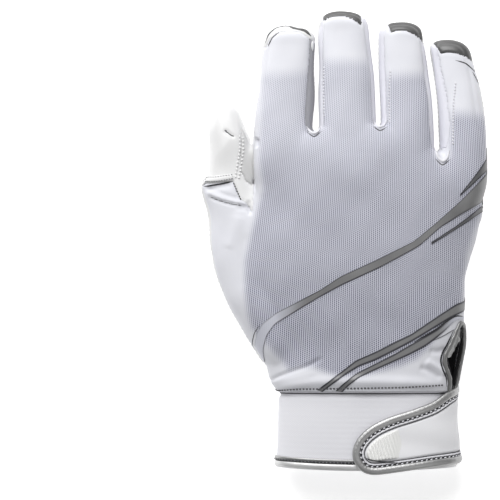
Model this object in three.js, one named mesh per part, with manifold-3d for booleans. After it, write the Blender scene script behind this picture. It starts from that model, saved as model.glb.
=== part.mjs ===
// A football receiver's glove for the right hand, lying palm down with the shape of the hand still in it.
// Millimetres. X runs from the thumb side to the little finger, Y from the hem of the cuff to the
// fingertips, and Z up from the surface that the palm rests on. The origin is on that surface, under the
// middle of the glove.
import * as THREE from "three";
import { mergeVertices } from "three/addons/utils/BufferGeometryUtils.js";
import Module from "manifold-3d";

const wasm = await Module();
wasm.setup();

// Hand
const HAND_LENGTH = 132.4; // cuff seam to the crotch beside the middle finger
const HAND_WIDTH = 115.5; // across the knuckles, without the thumb
const THUMB_SHARE = 0.49; // share of that width on the thumb's side of the cuff's middle line
const HAND_DEPTH = 35; // highest point of the back above the surface
const KNUCKLE_FALL = 17; // how far the crotch line drops from the middle finger to the little finger's side
const KNUCKLE_PEAK = -0.045; // where that line is furthest forward, as a share of the hand's width
const KNUCKLE_END = 0.346; // where it has dropped by all of that
const HEEL_RUN = 0.13; // share of the hand's length over which its underside comes down from the cuff's

// Fingers: root is the share of the hand's width from the cuff's middle line to the finger's middle line,
// length is from the crotch line to the tip, lean is how far the tip stands aside from the root, and bow is
// how far the middle of the finger stands aside from the straight line between them.
const FINGERS = {
  index: { root: -0.386, length: 59.5, width: 29, lean: 6.8, bow: 0.6 },
  middle: { root: -0.08, length: 57, width: 28.4, lean: -2.6, bow: 1.0 },
  ring: { root: 0.188, length: 57, width: 26.5, lean: -4.4, bow: 0.6 },
  little: { root: 0.405, length: 66, width: 24, lean: -6.4, bow: 4.6 },
};
const FINGER_ROOT = 22; // how far a finger's form starts behind the crotch line, inside the hand
const KNUCKLE_DEPTH = 32; // height of a finger's back where it leaves the hand
const FINGERTIP_DEPTH = 18; // height of a finger's back near its tip
const FINGER_ARCH = 4; // how far the bent middle of a finger lifts off the surface
const FINGERTIP_DOME = 9; // length of the rounded end
const FINGER_GAP = 0.8; // neighbouring fingers lie this close to each other

// Thumb
const THUMB_LENGTH = 130; // from inside the heel of the hand to the tip
const THUMB_START = 14; // where it starts, from the cuff seam
const THUMB_WIDTH = 26;
const THUMB_DEPTH = 22;
const THUMB_TIP_LIFT = 0.2; // share of that depth that its very tip is lifted
const THUMB_CAP_LENGTH = 41; // the leather end, from its cross seam to the tip
const WEB_WIDTH = 6; // the leather between the thumb's end and the hand
const WEB_LENGTH = 22;

// Cuff, strap and vent
const CUFF_LENGTH = 36.8; // at its sides, from the hem to the seam
const CUFF_WIDTH = 89.4;
const CUFF_DEPTH = 29;
const CUFF_WALL = 2;
const HEM_BOW = 1.6; // the hem is this much lower in the middle than at the sides
const PALM_DIP = 7; // the palm leather runs this much further down than the back does
const BINDING_WIDTH = 2.8;
const BINDING_PROUD = 0.5;
const STRAP_REACH = 52.8; // from the cuff's little finger side to the strap's round end
const STRAP_WIDTH = 22; // at the round end
const STRAP_FLARE = 19; // how much further up the strap's upper edge is at the little finger side
const STRAP_RISE = 5; // and how much its lower edge
const STRAP_BINDING_WIDTH = 4;
const STRAP_WALL = 1.5;
const STRAP_DROP = 1; // the round end hangs below the hem by this much
const PATCH_LENGTH = 16;
const PATCH_WALL = 0.8;
const VENT_LENGTH = 31.5; // from the cuff seam to the vent's top
const VENT_TONGUE_WALL = 0.8; // the leather seen inside its upper end
const VENT_WIDTH = 8.5;
const VENT_BINDING_WIDTH = 2.4;
const LABEL_WIDTH = 15;
const LABEL_LENGTH = 32;
const LABEL_SIDE = -4; // its middle, from the cuff's middle line towards the thumb
const LABEL_DROP = 3; // it hangs below the hem
const LABEL_WALL = 0.5;

// Cloth, leather and their seams
const PANEL_WALL = 1.2;
const SEAM_GAP = 0.3;
const SEAM_ROLL = 1.5; // width of the turned edge between the hand and the cuff
const SEAM_PROUD = 0.5;
const PALM_SEAM = 0.42; // height of the seam between back and palm, as a share of the local depth
const BACK_SEAM = 0.72; // height of the seam between a finger's back and its side wall
const TIP_STRIP = 4.2; // width of the silver strip over a fingertip, seen from above
const TIP_ROUND = 0.98; // the strip's inner edge is round, with this share of the finger's width
const TIP_START = 0.34; // where the strip starts, as a share of that edge's radius ahead of its middle
const FILM_WALL = 0.4; // silver film on the back
const REST_SINK = 2; // the underside is flattened this much where it rests

const COLOURS = {
  knit: { color: 0xdfe0ee, roughness: 0.85, metalness: 0 },
  leather: { color: 0xebebea, roughness: 0.25, metalness: 0 },
  side: { color: 0xe9e9f2, roughness: 0.7, metalness: 0 },
  silver: { color: 0x8f9194, roughness: 0.35, metalness: 0.6 },
  elastic: { color: 0xf1f1f6, roughness: 0.9, metalness: 0 },
  rubber: { color: 0xf2f2ec, roughness: 0.5, metalness: 0 },
};

// Sections of the hand from the cuff seam to the crotch line. along is the share of the hand's length.
// thumb_side and little_side go from 0, the cuff's edge, to 1, the edge at the knuckles. rise goes from 0,
// the cuff's depth, to 1, the hand's depth. curl is how much of the crotch line's curve the section takes.
const HAND_SECTIONS = [
  { along: 0.0, thumb_side: -0.05, little_side: -0.03, rise: -0.25, curl: 0.0 },
  { along: 0.03, thumb_side: 0.24, little_side: 0.07, rise: 0.25, curl: 0.0 },
  { along: 0.1, thumb_side: 0.44, little_side: 0.2, rise: 0.3, curl: 0.0 },
  { along: 0.21, thumb_side: 0.72, little_side: 0.32, rise: 0.5, curl: 0.05 },
  { along: 0.34, thumb_side: 1.1, little_side: 0.31, rise: 0.78, curl: 0.15 },
  { along: 0.46, thumb_side: 1.36, little_side: 0.32, rise: 0.95, curl: 0.3 },
  { along: 0.58, thumb_side: 1.3, little_side: 0.5, rise: 1.0, curl: 0.5 },
  { along: 0.71, thumb_side: 1.17, little_side: 0.7, rise: 1.0, curl: 0.7 },
  { along: 0.83, thumb_side: 1.04, little_side: 0.84, rise: 0.9, curl: 0.88 },
  { along: 0.93, thumb_side: 0.97, little_side: 0.97, rise: 0.55, curl: 1.0 },
  { along: 1.0, thumb_side: 0.9, little_side: 0.88, rise: -0.1, curl: 1.0 },
];

// Sections of a finger from root to tip. along is the share of the length before the rounded end, girth the
// share of the width, drop goes from 0, the knuckle's height, to 1, the fingertip's, and arch is the share
// of the lift of the underside.
const FINGER_SECTIONS = [
  { along: 0.0, girth: 0.94, drop: 0.05, arch: 0.5 },
  { along: 0.22, girth: 0.99, drop: 0.05, arch: 0.8 },
  { along: 0.4, girth: 1.0, drop: 0.24, arch: 1.0 },
  { along: 0.57, girth: 0.99, drop: 0.5, arch: 0.9 },
  { along: 0.73, girth: 0.96, drop: 0.72, arch: 0.5 },
  { along: 1.0, girth: 0.9, drop: 1.0, arch: 0.0 },
];

// The rounded end of a finger: reach is the share of the dome's length, size the share of the last section.
const DOME_SECTIONS = [
  { reach: 0.42, size: 0.92 },
  { reach: 0.76, size: 0.72 },
  { reach: 1.0, size: 0.38 },
];

// Sections of the thumb from the heel of the hand to the tip. along is the share of the thumb's length, out
// is how far its middle stands outside the hand's edge as a share of the thumb's width, girth and height are
// shares of the thumb's width and depth.
const THUMB_SECTIONS = [
  { along: 0.0, out: -0.72, girth: 1.05, height: 1.15 },
  { along: 0.08, out: -0.56, girth: 1.28, height: 1.24 },
  { along: 0.21, out: -0.24, girth: 1.38, height: 1.28 },
  { along: 0.33, out: 0.05, girth: 1.3, height: 1.22 },
  { along: 0.44, out: 0.24, girth: 1.14, height: 1.12 },
  { along: 0.55, out: 0.34, girth: 1.03, height: 1.03 },
  { along: 0.68, out: 0.5, girth: 1.02, height: 1.0 },
  { along: 0.71, out: 0.44, girth: 0.87, height: 0.94 },
  { along: 0.82, out: 0.42, girth: 0.85, height: 0.9 },
  { along: 0.91, out: 0.5, girth: 0.68, height: 0.84 },
  { along: 0.965, out: 0.51, girth: 0.48, height: 0.74 },
  { along: 1.0, out: 0.51, girth: 0.2, height: 0.58 },
];

// Sections of the cuff from the hem to the cuff seam: along is the share of its length, width and depth are
// shares of the cuff's own.
const CUFF_SECTIONS = [
  { along: 0.0, width: 1.01, depth: 1.0 },
  { along: 0.5, width: 0.99, depth: 0.985 },
  { along: 1.0, width: 0.975, depth: 0.96 },
];

// The vent's edge, anticlockwise from the thumb side of its foot. aside is the share of its width outside
// the cuff's edge, along the share of its length.
const VENT_EDGE = [
  { aside: -0.47, along: 0 },
  { aside: -0.18, along: 0 },
  { aside: 0.16, along: 0.3 },
  { aside: 0.32, along: 0.5 },
  { aside: 0.35, along: 0.72 },
  { aside: 0.3, along: 0.9 },
  { aside: 0.2, along: 1 },
  { aside: 0.02, along: 0.9 },
  { aside: -0.24, along: 0.7 },
  { aside: -0.53, along: 0.49 },
  { aside: -0.52, along: 0.25 },
];

// Silver bands on the back. Each follows a middle line from the thumb side up to the little finger's side:
// across and along are shares of the hand's width from the cuff's middle line and of its length from the
// cuff seam, and wide is the band's width in millimetres there.
const STRIPES = {
  stripe_upper: [
    { across: -0.45, along: 0.115, wide: 2.4 },
    { across: -0.462, along: 0.17, wide: 3.6 },
    { across: -0.442, along: 0.227, wide: 4.8 },
    { across: -0.395, along: 0.272, wide: 5.0 },
    { across: -0.113, along: 0.412, wide: 4.0 },
    { across: 0.212, along: 0.548, wide: 4.2 },
    { across: 0.381, along: 0.678, wide: 7.4 },
    { across: 0.51, along: 0.762, wide: 11.4 },
  ],
  stripe_upper_edge: [
    { across: 0.4, along: 0.742, wide: 0.8 },
    { across: 0.45, along: 0.79, wide: 1.8 },
    { across: 0.52, along: 0.85, wide: 4.0 },
  ],
  stripe_upper_foot: [
    { across: 0.277, along: 0.55, wide: 0.8 },
    { across: 0.39, along: 0.62, wide: 1.6 },
    { across: 0.5, along: 0.682, wide: 3.0 },
  ],
  stripe_lower: [
    { across: -0.168, along: 0.02, wide: 1.6 },
    { across: -0.022, along: 0.1, wide: 3.0 },
    { across: 0.351, along: 0.298, wide: 4.8 },
    { across: 0.445, along: 0.322, wide: 5.0 },
  ],
  stripe_lower_foot: [
    { across: -0.12, along: 0.018, wide: 2.4 },
    { across: -0.009, along: 0.073, wide: 2.2 },
    { across: 0.13, along: 0.146, wide: 1.8 },
    { across: 0.318, along: 0.248, wide: 0.8 },
  ],
};

// The height of the seam lines along the glove. along is the share of the hand's length, or past 1 of the
// middle finger's. low and high are where the local underside and back are: high goes from 0, the surface,
// to 1, the hand's depth, and low is the share of the lift of a finger's underside.
const SEAM_SECTIONS = [
  { along: 0.0, low: 0.3, high: 0.83 },
  { along: 0.6, low: 0.0, high: 1.0 },
  { along: 0.85, low: 0.5, high: 0.95 },
  { along: 1.0, low: 1.0, high: 0.87 },
  { along: 1.5, low: 0.5, high: 0.64 },
  { along: 2.0, low: 0.0, high: 0.51 },
];

const HAND_POINTS = 28;
const FINGER_POINTS = 14;
const THUMB_POINTS = 16;
const ROUND_STEPS = 8; // steps of a round end
const TIP_SIDES = 24;
const LINE_STEPS = 4; // along a finger's middle line
const CLEFT_STEPS = 4;
const CLEFT_START = 0.28; // share of the finger's length at its crotch
const CLEFT_END = 1.1;
const HAND_SQUARE = 2.5; // 2 is an ellipse, more is squarer
const FINGER_SQUARE = 2.4;
const REACH = 400; // larger than the glove, for cutting
const CLEAR = 20; // farther out than any wall, for cutting

const cuffHalf = CUFF_WIDTH / 2;
const cuffLift = LABEL_WALL + SEAM_GAP + BINDING_PROUD; // the label lies between the cuff and the surface
const seamY = CUFF_LENGTH + SEAM_ROLL + 2 * SEAM_GAP;
const crotchY = seamY + HAND_LENGTH;
const thumbEdge = -HAND_WIDTH * THUMB_SHARE;
const littleEdge = HAND_WIDTH * (1 - THUMB_SHARE);
const thumbTipY = seamY + THUMB_START + THUMB_LENGTH;

const mix = (from, to, share) => from + (to - from) * share;

// Solids

function solid(geometry) {
  const bare = new THREE.BufferGeometry().setAttribute("position", geometry.getAttribute("position"));
  if (geometry.index) bare.setIndex(geometry.index);
  const merged = mergeVertices(bare, 1e-4);
  return new wasm.Manifold(
    new wasm.Mesh({
      numProp: 3,
      vertProperties: merged.attributes.position.array,
      triVerts: new Uint32Array(merged.index.array),
    }),
  );
}

// A closed solid through rings of points, each ring going from +X to +Z, one after the other along +Y.
function loft(rings) {
  const count = rings[0].length;
  const points = rings.flat();
  const middles = [rings[0], rings[rings.length - 1]].map((ring) =>
    ring.reduce((sum, p) => sum.clone().add(p), new THREE.Vector3()).divideScalar(count),
  );
  const faces = [];
  for (let j = 0; j + 1 < rings.length; j++)
    for (let i = 0; i < count; i++) {
      const a = j * count + i;
      const b = j * count + ((i + 1) % count);
      faces.push(a, b + count, b, a, a + count, b + count);
    }
  const start = points.length;
  const last = (rings.length - 1) * count;
  for (let i = 0; i < count; i++) {
    const next = (i + 1) % count;
    faces.push(start, i, next, start + 1, last + next, last + i);
  }
  return solid(new THREE.BufferGeometry().setFromPoints([...points, ...middles]).setIndex(faces));
}

// A ring of a soft tube: a rounded section, drawn as it is before the surface under it flattens it.
// extra grows the form outwards, and a negative value gives the inside of a wall.
function ring({ x, y, half, top, bottom, square, count, extra = 0, move = () => 0 }) {
  const middle = mix(bottom, top, PALM_SEAM);
  const points = [];
  for (let i = 0; i < count; i++) {
    const turn = (2 * Math.PI * i) / count;
    const c = Math.cos(turn);
    const s = Math.sin(turn);
    const across = Math.sign(c) * Math.abs(c) ** (2 / square);
    const up = Math.sign(s) * Math.abs(s) ** (2 / square);
    const reach = s > 0 ? top - middle + extra : middle - bottom + REST_SINK + extra;
    points.push(new THREE.Vector3(x + across * (half + extra), y + move(across, s), middle + up * reach));
  }
  return points;
}

// An outline seen from above, as an upright prism.
function prism(outline, low = -REACH, high = REACH) {
  const shape = new THREE.Shape(outline.map(([x, y]) => new THREE.Vector2(x, y)));
  const geometry = new THREE.ExtrudeGeometry(shape, { depth: high - low, bevelEnabled: false, steps: 1 });
  return solid(geometry.translate(0, 0, low));
}

// Everything above a line of [y, z] points that is seen from the side.
function above(line, lift = 0) {
  const raised = line.map(([y, z]) => [y, z + lift]);
  const outline = [[-REACH, raised[0][1]], ...raised, [REACH, raised[raised.length - 1][1]], [REACH, REACH]];
  const shape = new THREE.Shape([...outline, [-REACH, REACH]].map(([y, z]) => new THREE.Vector2(y, z)));
  const geometry = new THREE.ExtrudeGeometry(shape, { depth: 2 * REACH, bevelEnabled: false, steps: 1 });
  const turn = new THREE.Matrix4().makeBasis(
    new THREE.Vector3(0, 1, 0),
    new THREE.Vector3(0, 0, 1),
    new THREE.Vector3(1, 0, 0),
  );
  return solid(geometry.applyMatrix4(turn).translate(-REACH, 0, 0));
}

const block = (size, centre) => solid(new THREE.BoxGeometry(...size).translate(...centre));
const clearOf = (z) => block([2 * REACH, 2 * REACH, REACH], [0, 0, z + REACH / 2]);
const before = (y) => block([2 * REACH, REACH, 2 * REACH], [0, y - REACH / 2, 0]);

// The outline moved out by a distance, or in by a negative one. It runs anticlockwise.
function widened(outline, distance) {
  return outline.map((point, i) => {
    const from = outline[(i + outline.length - 1) % outline.length];
    const to = outline[(i + 1) % outline.length];
    const inward = new THREE.Vector2(point[0] - from[0], point[1] - from[1]).normalize();
    const outward = new THREE.Vector2(to[0] - point[0], to[1] - point[1]).normalize();
    const side = new THREE.Vector2(inward.y + outward.y, -inward.x - outward.x).normalize();
    const spread = Math.max(0.5, side.dot(new THREE.Vector2(inward.y, -inward.x)));
    return [point[0] + (side.x * distance) / spread, point[1] + (side.y * distance) / spread];
  });
}

// The largest body of a solid, without the crumbs that a cut leaves.
function largest(made) {
  const bodies = made.decompose().sort((a, b) => b.volume() - a.volume());
  return bodies[0];
}

// The form of the hand

// How far the crotch line lies behind its furthest point.
function crotchLine(x) {
  const share = (x / HAND_WIDTH - KNUCKLE_PEAK) / (KNUCKLE_END - KNUCKLE_PEAK);
  return -KNUCKLE_FALL * share * share;
}

function handForm(extra, open = 0) {
  const rings = HAND_SECTIONS.map((section, i) => {
    const left = mix(-cuffHalf, thumbEdge, section.thumb_side);
    const right = mix(cuffHalf, littleEdge, section.little_side);
    const isFirst = i === 0;
    const isLast = i === HAND_SECTIONS.length - 1;
    const middle = (left + right) / 2;
    const half = (right - left) / 2;
    const heel = Math.max(0, 1 - section.along / HEEL_RUN);
    return ring({
      x: middle,
      y: seamY + section.along * HAND_LENGTH + (isLast ? extra : 0) - (isFirst ? open : 0),
      half,
      top: mix(CUFF_DEPTH, HAND_DEPTH, section.rise),
      bottom: cuffLift * heel,
      square: HAND_SQUARE,
      count: HAND_POINTS,
      extra,
      move: (across, s) =>
        crotchLine(middle + across * half) * section.curl -
        (s < 0 ? PALM_DIP * s * s * heel : 0),
    });
  });
  return loft(rings);
}

const fingerMiddle = (finger, share) => {
  const rootX = finger.root * HAND_WIDTH;
  const rootY = crotchY + crotchLine(rootX) - FINGER_ROOT;
  const full = finger.length + FINGER_ROOT;
  return [rootX + finger.lean * share + finger.bow * Math.sin(Math.PI * share), rootY + full * share];
};

const NEIGHBOURS = [
  ["index", "middle"],
  ["middle", "ring"],
  ["ring", "little"],
];

// The narrow gap between two neighbouring fingers, as an upright slab. It narrows as the fingers are grown.
function cleft([near, far], extra) {
  const middle = [];
  for (let i = 1; i <= CLEFT_STEPS; i++) {
    const share = mix(CLEFT_START, CLEFT_END, (i - 1) / (CLEFT_STEPS - 1));
    const [nearX, nearY] = fingerMiddle(FINGERS[near], share);
    const [farX, farY] = fingerMiddle(FINGERS[far], share);
    middle.push([(nearX + FINGERS[near].width / 2 + farX - FINGERS[far].width / 2) / 2, (nearY + farY) / 2]);
  }
  const half = FINGER_GAP / 2 - extra;
  const crotch = middle[0][1];
  middle[0][1] = crotch + half;
  const right = middle.map(([x, y]) => [x + half, y]);
  const left = middle.map(([x, y]) => [x - half, y]);
  return prism([...right, ...left.reverse()]);
}

function fingerForm(finger, extra) {
  const full = finger.length + FINGER_ROOT;
  const straight = full - FINGERTIP_DOME;
  const stations = FINGER_SECTIONS.map((section) => ({
    ...section,
    size: 1,
    share: (section.along * straight) / full,
  }));
  const last = FINGER_SECTIONS[FINGER_SECTIONS.length - 1];
  for (const { reach, size } of DOME_SECTIONS)
    stations.push({ ...last, size, share: (straight + reach * (FINGERTIP_DOME + extra)) / full });
  return loft(
    stations.map(({ girth, drop, arch, size, share }) => {
      const [x, y] = fingerMiddle(finger, share);
      const top = mix(KNUCKLE_DEPTH, FINGERTIP_DEPTH, drop);
      const bottom = FINGER_ARCH * arch;
      const middle = mix(bottom, top, PALM_SEAM);
      return ring({
        x,
        y,
        half: (finger.width / 2) * girth * size,
        top: mix(middle, top, size),
        bottom: mix(middle, bottom, size),
        square: FINGER_SQUARE,
        count: FINGER_POINTS,
        extra,
      });
    }),
  );
}

const thumbMiddle = (section) => thumbEdge - section.out * THUMB_WIDTH;

function thumbForm(extra) {
  const lastIndex = THUMB_SECTIONS.length - 1;
  return loft(
    THUMB_SECTIONS.map((section, i) =>
      ring({
        x: thumbMiddle(section),
        y: thumbTipY - (1 - section.along) * THUMB_LENGTH + (i === lastIndex ? extra : 0),
        half: (section.girth * THUMB_WIDTH) / 2,
        top: section.height * THUMB_DEPTH,
        bottom: i === lastIndex ? REST_SINK + THUMB_DEPTH * THUMB_TIP_LIFT : 0,
        square: FINGER_SQUARE,
        count: THUMB_POINTS,
        extra,
      }),
    ),
  );
}

// The whole hand with its fingers and thumb, grown by a distance and flattened where it rests.
function whole(extra, open = 0) {
  const fingers = Object.values(FINGERS).map((finger) => fingerForm(finger, extra));
  const clefts = NEIGHBOURS.map((pair) => cleft(pair, extra));
  const made = fingers.reduce((sum, finger) => sum.add(finger), handForm(extra, open));
  return clefts
    .reduce((rest, gap) => rest.subtract(gap), made)
    .add(thumbForm(extra))
    .intersect(clearOf(-extra));
}

// A ring of the cuff at a height, with its width and depth as shares, following the bow of the hem at 0 and
// the dip of the palm's seam at 1.
function cuffRing(y, along, extra) {
  const { width, depth } = cuffShares(along);
  return ring({
    x: 0,
    y,
    half: cuffHalf * width,
    top: CUFF_DEPTH * depth,
    bottom: cuffLift,
    square: HAND_SQUARE,
    count: HAND_POINTS,
    extra,
    move: (across, s) => (across ** 2 - 1) * HEM_BOW * (1 - along) - (s < 0 ? PALM_DIP * s * s * along : 0),
  });
}

function cuffShares(along) {
  const last = CUFF_SECTIONS.length - 1;
  const place = Math.min(last - 1, Math.floor(along * last));
  const [from, to] = [CUFF_SECTIONS[place], CUFF_SECTIONS[place + 1]];
  const share = (along - from.along) / (to.along - from.along);
  return { width: mix(from.width, to.width, share), depth: mix(from.depth, to.depth, share) };
}

function cuffForm(extra, open = 0) {
  const rings = CUFF_SECTIONS.map(({ along }) => cuffRing(along * CUFF_LENGTH, along, extra));
  if (open) {
    rings.unshift(cuffRing(-open, 0, extra));
    rings.push(cuffRing(CUFF_LENGTH + open, 1, extra));
  }
  return loft(rings).intersect(clearOf(cuffLift - extra));
}

// What lies further up the cuff than a distance from its hem.
const cuffAfter = (distance) =>
  loft([cuffRing(distance, 0, CLEAR), cuffRing(CUFF_LENGTH + REACH, 1, CLEAR)]);

// Seams

// A line seen from the side at a share of the local depth, over the cuff, the hand and the fingers.
const seamLine = (share) =>
  SEAM_SECTIONS.map(({ along, low, high }) => [
    seamY + Math.min(along, 1) * HAND_LENGTH + Math.max(along - 1, 0) * FINGERS.middle.length,
    mix(low * FINGER_ARCH, high * HAND_DEPTH, share),
  ]);
const palmLine = seamLine(PALM_SEAM);
const backLine = seamLine(BACK_SEAM);

// The ground between the middle lines of two neighbouring fingers.
function between(near, far) {
  const line = (finger) => {
    const points = [];
    for (let i = 1; i <= LINE_STEPS; i++) points.push(fingerMiddle(finger, i / LINE_STEPS));
    return points;
  };
  return [...line(far), ...line(near).reverse()];
}

// The strip over a fingertip: outside an upright cylinder that follows the tip, and ahead of its middle.
function tipZone(finger, extra) {
  const [x, y] = fingerMiddle(finger, 1);
  const radius = (finger.width * TIP_ROUND) / 2;
  const middleY = y - TIP_STRIP - radius;
  const pad = new THREE.CylinderGeometry(radius - extra, radius - extra, 2 * REACH, TIP_SIDES);
  const start = middleY + radius * TIP_START - extra;
  const ahead = block([finger.width * 2, REACH, 2 * REACH], [x, start + REACH / 2, 0]);
  return ahead
    .subtract(solid(pad.rotateX(Math.PI / 2).translate(x, middleY, 0)))
    .intersect(fingerForm(finger, SEAM_GAP / 2));
}

// The vent beside the cuff on the little finger's side, seen from above.
const ventOutline = VENT_EDGE.map(({ aside, along }) => [
  cuffHalf + aside * VENT_WIDTH,
  seamY + along * VENT_LENGTH - (along === 0 ? VENT_WIDTH / 2 : 0),
]);

function stripeOutline(rows) {
  const place = ({ across, along }) => new THREE.Vector2(across * HAND_WIDTH, seamY + along * HAND_LENGTH);
  const middle = rows.map(place);
  const sides = rows.map(({ wide }, i) => {
    const from = middle[Math.max(0, i - 1)];
    const to = middle[Math.min(rows.length - 1, i + 1)];
    return new THREE.Vector2(to.y - from.y, from.x - to.x).normalize().multiplyScalar(wide / 2);
  });
  const right = middle.map((p, i) => [p.x + sides[i].x, p.y + sides[i].y]);
  const left = middle.map((p, i) => [p.x - sides[i].x, p.y - sides[i].y]);
  return [...right, ...left.reverse()];
}

// The strap's outline seen from above, anticlockwise: it comes over the little finger's side and ends round.
const strapRadius = STRAP_WIDTH / 2;
const strapEndX = cuffHalf - STRAP_REACH + strapRadius;
const strapMiddleY = strapRadius - HEM_BOW - STRAP_DROP;
function strapOutline(extra) {
  const radius = strapRadius + extra;
  const run = cuffHalf - strapEndX;
  const flare = Math.atan2(STRAP_FLARE, run);
  const rise = Math.atan2(STRAP_RISE, run);
  const round = [];
  for (let i = 0; i <= ROUND_STEPS; i++) {
    const turn = mix(Math.PI / 2 + flare, (3 * Math.PI) / 2 + rise, i / ROUND_STEPS);
    round.push([strapEndX + Math.cos(turn) * radius, strapMiddleY + Math.sin(turn) * radius]);
  }
  const first = round[0];
  const last = round[ROUND_STEPS];
  const out = cuffHalf + STRAP_WIDTH;
  return [
    [out, last[1] + (out - last[0]) * Math.tan(rise)],
    [out, first[1] + (out - first[0]) * Math.tan(flare)],
    ...round,
  ];
}

// Pieces

const form = whole(0);
const shell = form.subtract(whole(-PANEL_WALL, CUFF_LENGTH));
const halfGap = SEAM_GAP / 2;

const betweenZones = NEIGHBOURS.map(([near, far]) => prism(between(FINGERS[near], FINGERS[far])));
const tipZones = {};
for (const [name, finger] of Object.entries(FINGERS)) tipZones[name] = tipZone(finger, 0);
const tipKeepOut = Object.values(FINGERS).map((finger) => tipZone(finger, SEAM_GAP));
const capY = thumbTipY - THUMB_CAP_LENGTH;

// The leather between the thumb's end and the hand, and the thumb's end without it, seen from above.
const webOutline = [
  [thumbEdge - WEB_WIDTH, capY],
  [thumbEdge, capY],
  [thumbEdge, capY + WEB_LENGTH],
  [thumbEdge - WEB_WIDTH, capY + WEB_LENGTH - WEB_WIDTH / 2],
];
const endOutline = [
  [thumbEdge - HAND_WIDTH, capY],
  [thumbEdge, capY],
  [thumbEdge, thumbTipY + THUMB_WIDTH],
  [thumbEdge - HAND_WIDTH, thumbTipY + THUMB_WIDTH],
];
const endZone = prism(endOutline);
const endKeepOut = prism(widened(endOutline, SEAM_GAP));
const webZone = prism(webOutline);
const webKeepOut = prism(widened(webOutline, SEAM_GAP));

const upper = shell.intersect(above(palmLine, halfGap));
const lower = shell.subtract(above(palmLine, -halfGap));

const ventKeepOut = prism(widened(ventOutline, VENT_BINDING_WIDTH + SEAM_GAP), PANEL_WALL * 2);

function makeBack() {
  let made = upper.subtract(endKeepOut).subtract(ventKeepOut);
  for (const zone of betweenZones) made = made.subtract(zone.subtract(above(backLine, halfGap)));
  for (const zone of tipKeepOut) made = made.subtract(zone);
  return largest(made);
}

function makeSide(i) {
  let made = upper.intersect(betweenZones[i]).subtract(above(backLine, -halfGap));
  for (const zone of tipKeepOut) made = made.subtract(zone);
  return largest(made);
}

const makeTip = (name) => largest(upper.intersect(tipZones[name]));
const makePalm = () => largest(lower.subtract(endKeepOut));
const makeThumbEnd = () => largest(shell.intersect(endZone).subtract(webKeepOut));
const makeThumbWeb = () => largest(shell.intersect(endZone).intersect(webZone));

function makeVentBinding() {
  const wall = handForm(BINDING_PROUD).subtract(handForm(-PANEL_WALL - BINDING_PROUD, CUFF_LENGTH));
  const zone = prism(widened(ventOutline, VENT_BINDING_WIDTH)).subtract(prism(ventOutline));
  const clearOfSeam = zone.subtract(before(seamY + SEAM_GAP));
  return largest(wall.intersect(clearOfSeam).intersect(above(palmLine, halfGap)));
}

// The leather that shows under the upper half of the vent, inside its binding.
function makeVentTongue() {
  const depth = -PANEL_WALL - BINDING_PROUD - SEAM_GAP;
  const wall = handForm(depth).subtract(handForm(depth - VENT_TONGUE_WALL, CUFF_LENGTH));
  const zone = prism(widened(ventOutline, VENT_BINDING_WIDTH / 2));
  const upperHalf = zone.subtract(before(seamY + VENT_LENGTH / 2));
  return largest(wall.intersect(upperHalf).intersect(above(palmLine, halfGap)));
}

const film = whole(SEAM_GAP + FILM_WALL).subtract(whole(SEAM_GAP, CUFF_LENGTH));
const ventClear = prism(widened(ventOutline, VENT_BINDING_WIDTH + SEAM_GAP));
const filmZone = film.intersect(above(palmLine, BINDING_WIDTH)).subtract(ventClear);
const makeStripe = (rows) => largest(filmZone.intersect(prism(stripeOutline(rows))));

// The cuff ends at its binding, which follows the bow of the hem.
const hemZone = (extra) => cuffForm(CLEAR / 2, CUFF_LENGTH).subtract(cuffAfter(BINDING_WIDTH + extra));
const makeCuff = () => cuffForm(0).subtract(cuffForm(-CUFF_WALL, CUFF_LENGTH)).subtract(hemZone(SEAM_GAP));
const makeHem = () =>
  cuffForm(BINDING_PROUD).subtract(cuffForm(-CUFF_WALL - BINDING_PROUD, CUFF_LENGTH)).intersect(hemZone(0));

// The turned edge between hand and cuff.
function makeSeamRoll() {
  const band = (extra, open) => {
    const low = CUFF_LENGTH + SEAM_GAP - open;
    const high = CUFF_LENGTH + SEAM_GAP + SEAM_ROLL + open;
    return loft([low, high].map((y) => cuffRing(y, 1, extra))).intersect(clearOf(cuffLift - extra));
  };
  return band(SEAM_PROUD, 0).subtract(band(-CUFF_WALL, CUFF_LENGTH));
}

// A layer over the cuff between two heights, on the back and over the little finger's side.
const overCuff = (low, high) =>
  cuffForm(high, CUFF_LENGTH)
    .subtract(cuffForm(low, 2 * CUFF_LENGTH))
    .intersect(clearOf(mix(cuffLift, CUFF_DEPTH, PALM_SEAM)))
    .intersect(before(CUFF_LENGTH + SEAM_GAP + SEAM_ROLL));

const strapLow = BINDING_PROUD + SEAM_GAP;
const strapHigh = strapLow + STRAP_WALL;
const strapInside = prism(strapOutline(-STRAP_BINDING_WIDTH));
const strapZone = prism(strapOutline(-STRAP_BINDING_WIDTH - SEAM_GAP));
const makeStrap = () => largest(overCuff(strapLow, strapHigh).intersect(strapZone));
const strapEdgeZone = prism(strapOutline(0)).subtract(strapInside);
const makeStrapBinding = () =>
  largest(overCuff(strapLow, strapHigh + BINDING_PROUD).intersect(strapEdgeZone));

function makePatch() {
  const layer = overCuff(strapHigh + SEAM_GAP, strapHigh + SEAM_GAP + PATCH_WALL);
  const outline = strapOutline(-STRAP_BINDING_WIDTH - 2 * SEAM_GAP);
  const end = strapEndX - strapRadius + STRAP_BINDING_WIDTH + PATCH_LENGTH;
  const beyond = block([REACH, REACH, REACH], [end + REACH / 2, 0, 0]);
  return largest(layer.intersect(prism(outline)).subtract(beyond));
}

const makeLabel = () =>
  block(
    [LABEL_WIDTH, LABEL_LENGTH, LABEL_WALL],
    [LABEL_SIDE, LABEL_LENGTH / 2 - LABEL_DROP, LABEL_WALL / 2],
  );

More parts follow.
